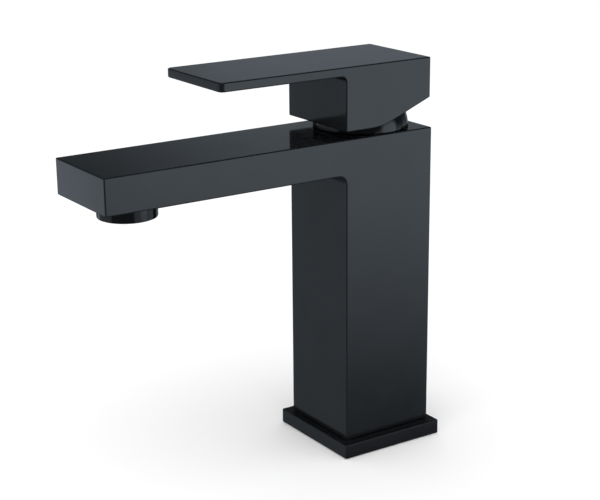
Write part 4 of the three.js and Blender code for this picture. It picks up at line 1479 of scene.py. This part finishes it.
# %% Nut, stem and set screw
nut_low, nut_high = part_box("retaining_nut")
NUT = {"thread_top": 139 * MM, "collar": 16.1 * MM, "collar_top": 142 * MM, "flats": 29 * MM}
NUT_THREAD = thread(nut_high.x, 1.0 * MM, 0.35 * MM)
NUT_LEAD = 0.5 * MM
NUT_HOLE = {"radius": NECK["outer"] + 0.4 * MM, "chamfer": 0.4 * MM}
CONE_RISE = math.tan(math.radians(30))
SCREW_THREAD = thread(screw_high.x, 0.8 * MM, 0.4 * MM)
SCREW_LEAD = 0.7 * MM
KEY = {"flats": 2.5 * MM, "depth": 3 * MM}
END_EDGE = 0.3 * MM  # on the top of each thread
BALL = {"arm": 11.5 * MM, "radius": 3 * MM, "neck": 2.2 * MM}
EYE = {"outer": 4.6 * MM, "bore": 1.8 * MM}
BAR = {"low": 3 * MM, "top": 28.5 * MM, "corner": 0.3 * MM, "chamfer": 0.6 * MM}


def hexagon(flats):
    return arc(flats / math.sqrt(3), 0, 5 * math.pi / 3, 5)


def bolt_profile(spec, low, high, lead):
    """The outside of a thread's blank, from the axis up to its top edge."""
    radius = spec["Outer radius"]
    profile = [(0, low), (radius - lead, low), (radius, low + lead)]
    profile += thread_rows(spec, low + lead, high - END_EDGE)[1:]
    return profile + [(radius - END_EDGE, high)]


def nut_crown():
    """A hexagon with its corners turned off to a cone."""
    low, high = NUT["collar_top"] - MM / 2, nut_high.z
    crown = prism("crown", hexagon(NUT["flats"]), "Z", low, high)
    inscribed = NUT["flats"] / 2
    outer = NUT["flats"] / math.sqrt(3) + MM
    cone = [(0, low - MM), (outer, low - MM), (outer, high - (outer - inscribed) * CONE_RISE)]
    return combine(crown, "INTERSECT", [turned("cone", cone + [(inscribed, high), (0, high)])])


def retaining_nut():
    low, high, top, collar = nut_low.z, nut_high.z, NUT["thread_top"], NUT["collar"]
    profile = bolt_profile(NUT_THREAD, low, top, NUT_LEAD) + [(collar, top)]
    made = turned("clamping_nut", profile + [(collar, NUT["collar_top"]), (0, NUT["collar_top"])])
    join(threaded(made, brass, NUT_THREAD, low + NUT_LEAD, top), nut_crown())
    bore, chamfer = NUT_HOLE["radius"], NUT_HOLE["chamfer"]
    wide = bore + chamfer
    hole = [(0, low - MM), (wide, low - MM), (wide, low), (bore, low + chamfer)]
    hole += [(bore, high - chamfer), (wide, high), (wide, high + MM), (0, high + MM)]
    return cut(made, turned("hole", hole))


def stem():
    half, arm, top = STEM["half"], BALL["arm"], BAR["top"]
    bar = box("square_stem", (-half, -half, BAR["low"]), (half, half, top), BAR["corner"])
    round_edges(bar, lambda middle, _: middle.z > top - CLOSE, BAR["chamfer"], 1)
    join(bar, rod("eye", EYE["outer"], -half, half, axis="X"))
    join(bar, rod("neck", BALL["neck"], -arm, MM, sides=32))
    join(bar, ball("ball", BALL["radius"], (0, 0, -arm), 48))
    cut(bar, rod("bore", EYE["bore"], -half - MM, half + MM, axis="X", sides=32))
    return tipped(bar)


def set_screw():
    low, high = screw_low.y, screw_high.y
    profile = bolt_profile(SCREW_THREAD, low, high, SCREW_LEAD) + [(0, high)]
    screw = turned("grub_screw", profile, sides=48)
    threaded(screw, steel, SCREW_THREAD, low + SCREW_LEAD, high)
    cut(screw, prism("key_socket", hexagon(KEY["flats"]), "Z", high - KEY["depth"], high + MM))
    laid_down = Matrix.Rotation(-math.pi / 2, 4, "X")
    screw.data.transform(Matrix.Translation(screw_place) @ laid_down)
    return screw


dress(retaining_nut(), "faucet", "brass", brass, "retaining_nut")
dress(stem(), "lever", "brass", brass, "lever_stem")
dress(set_screw(), "lever", "steel", steel, "handle_set_screw")
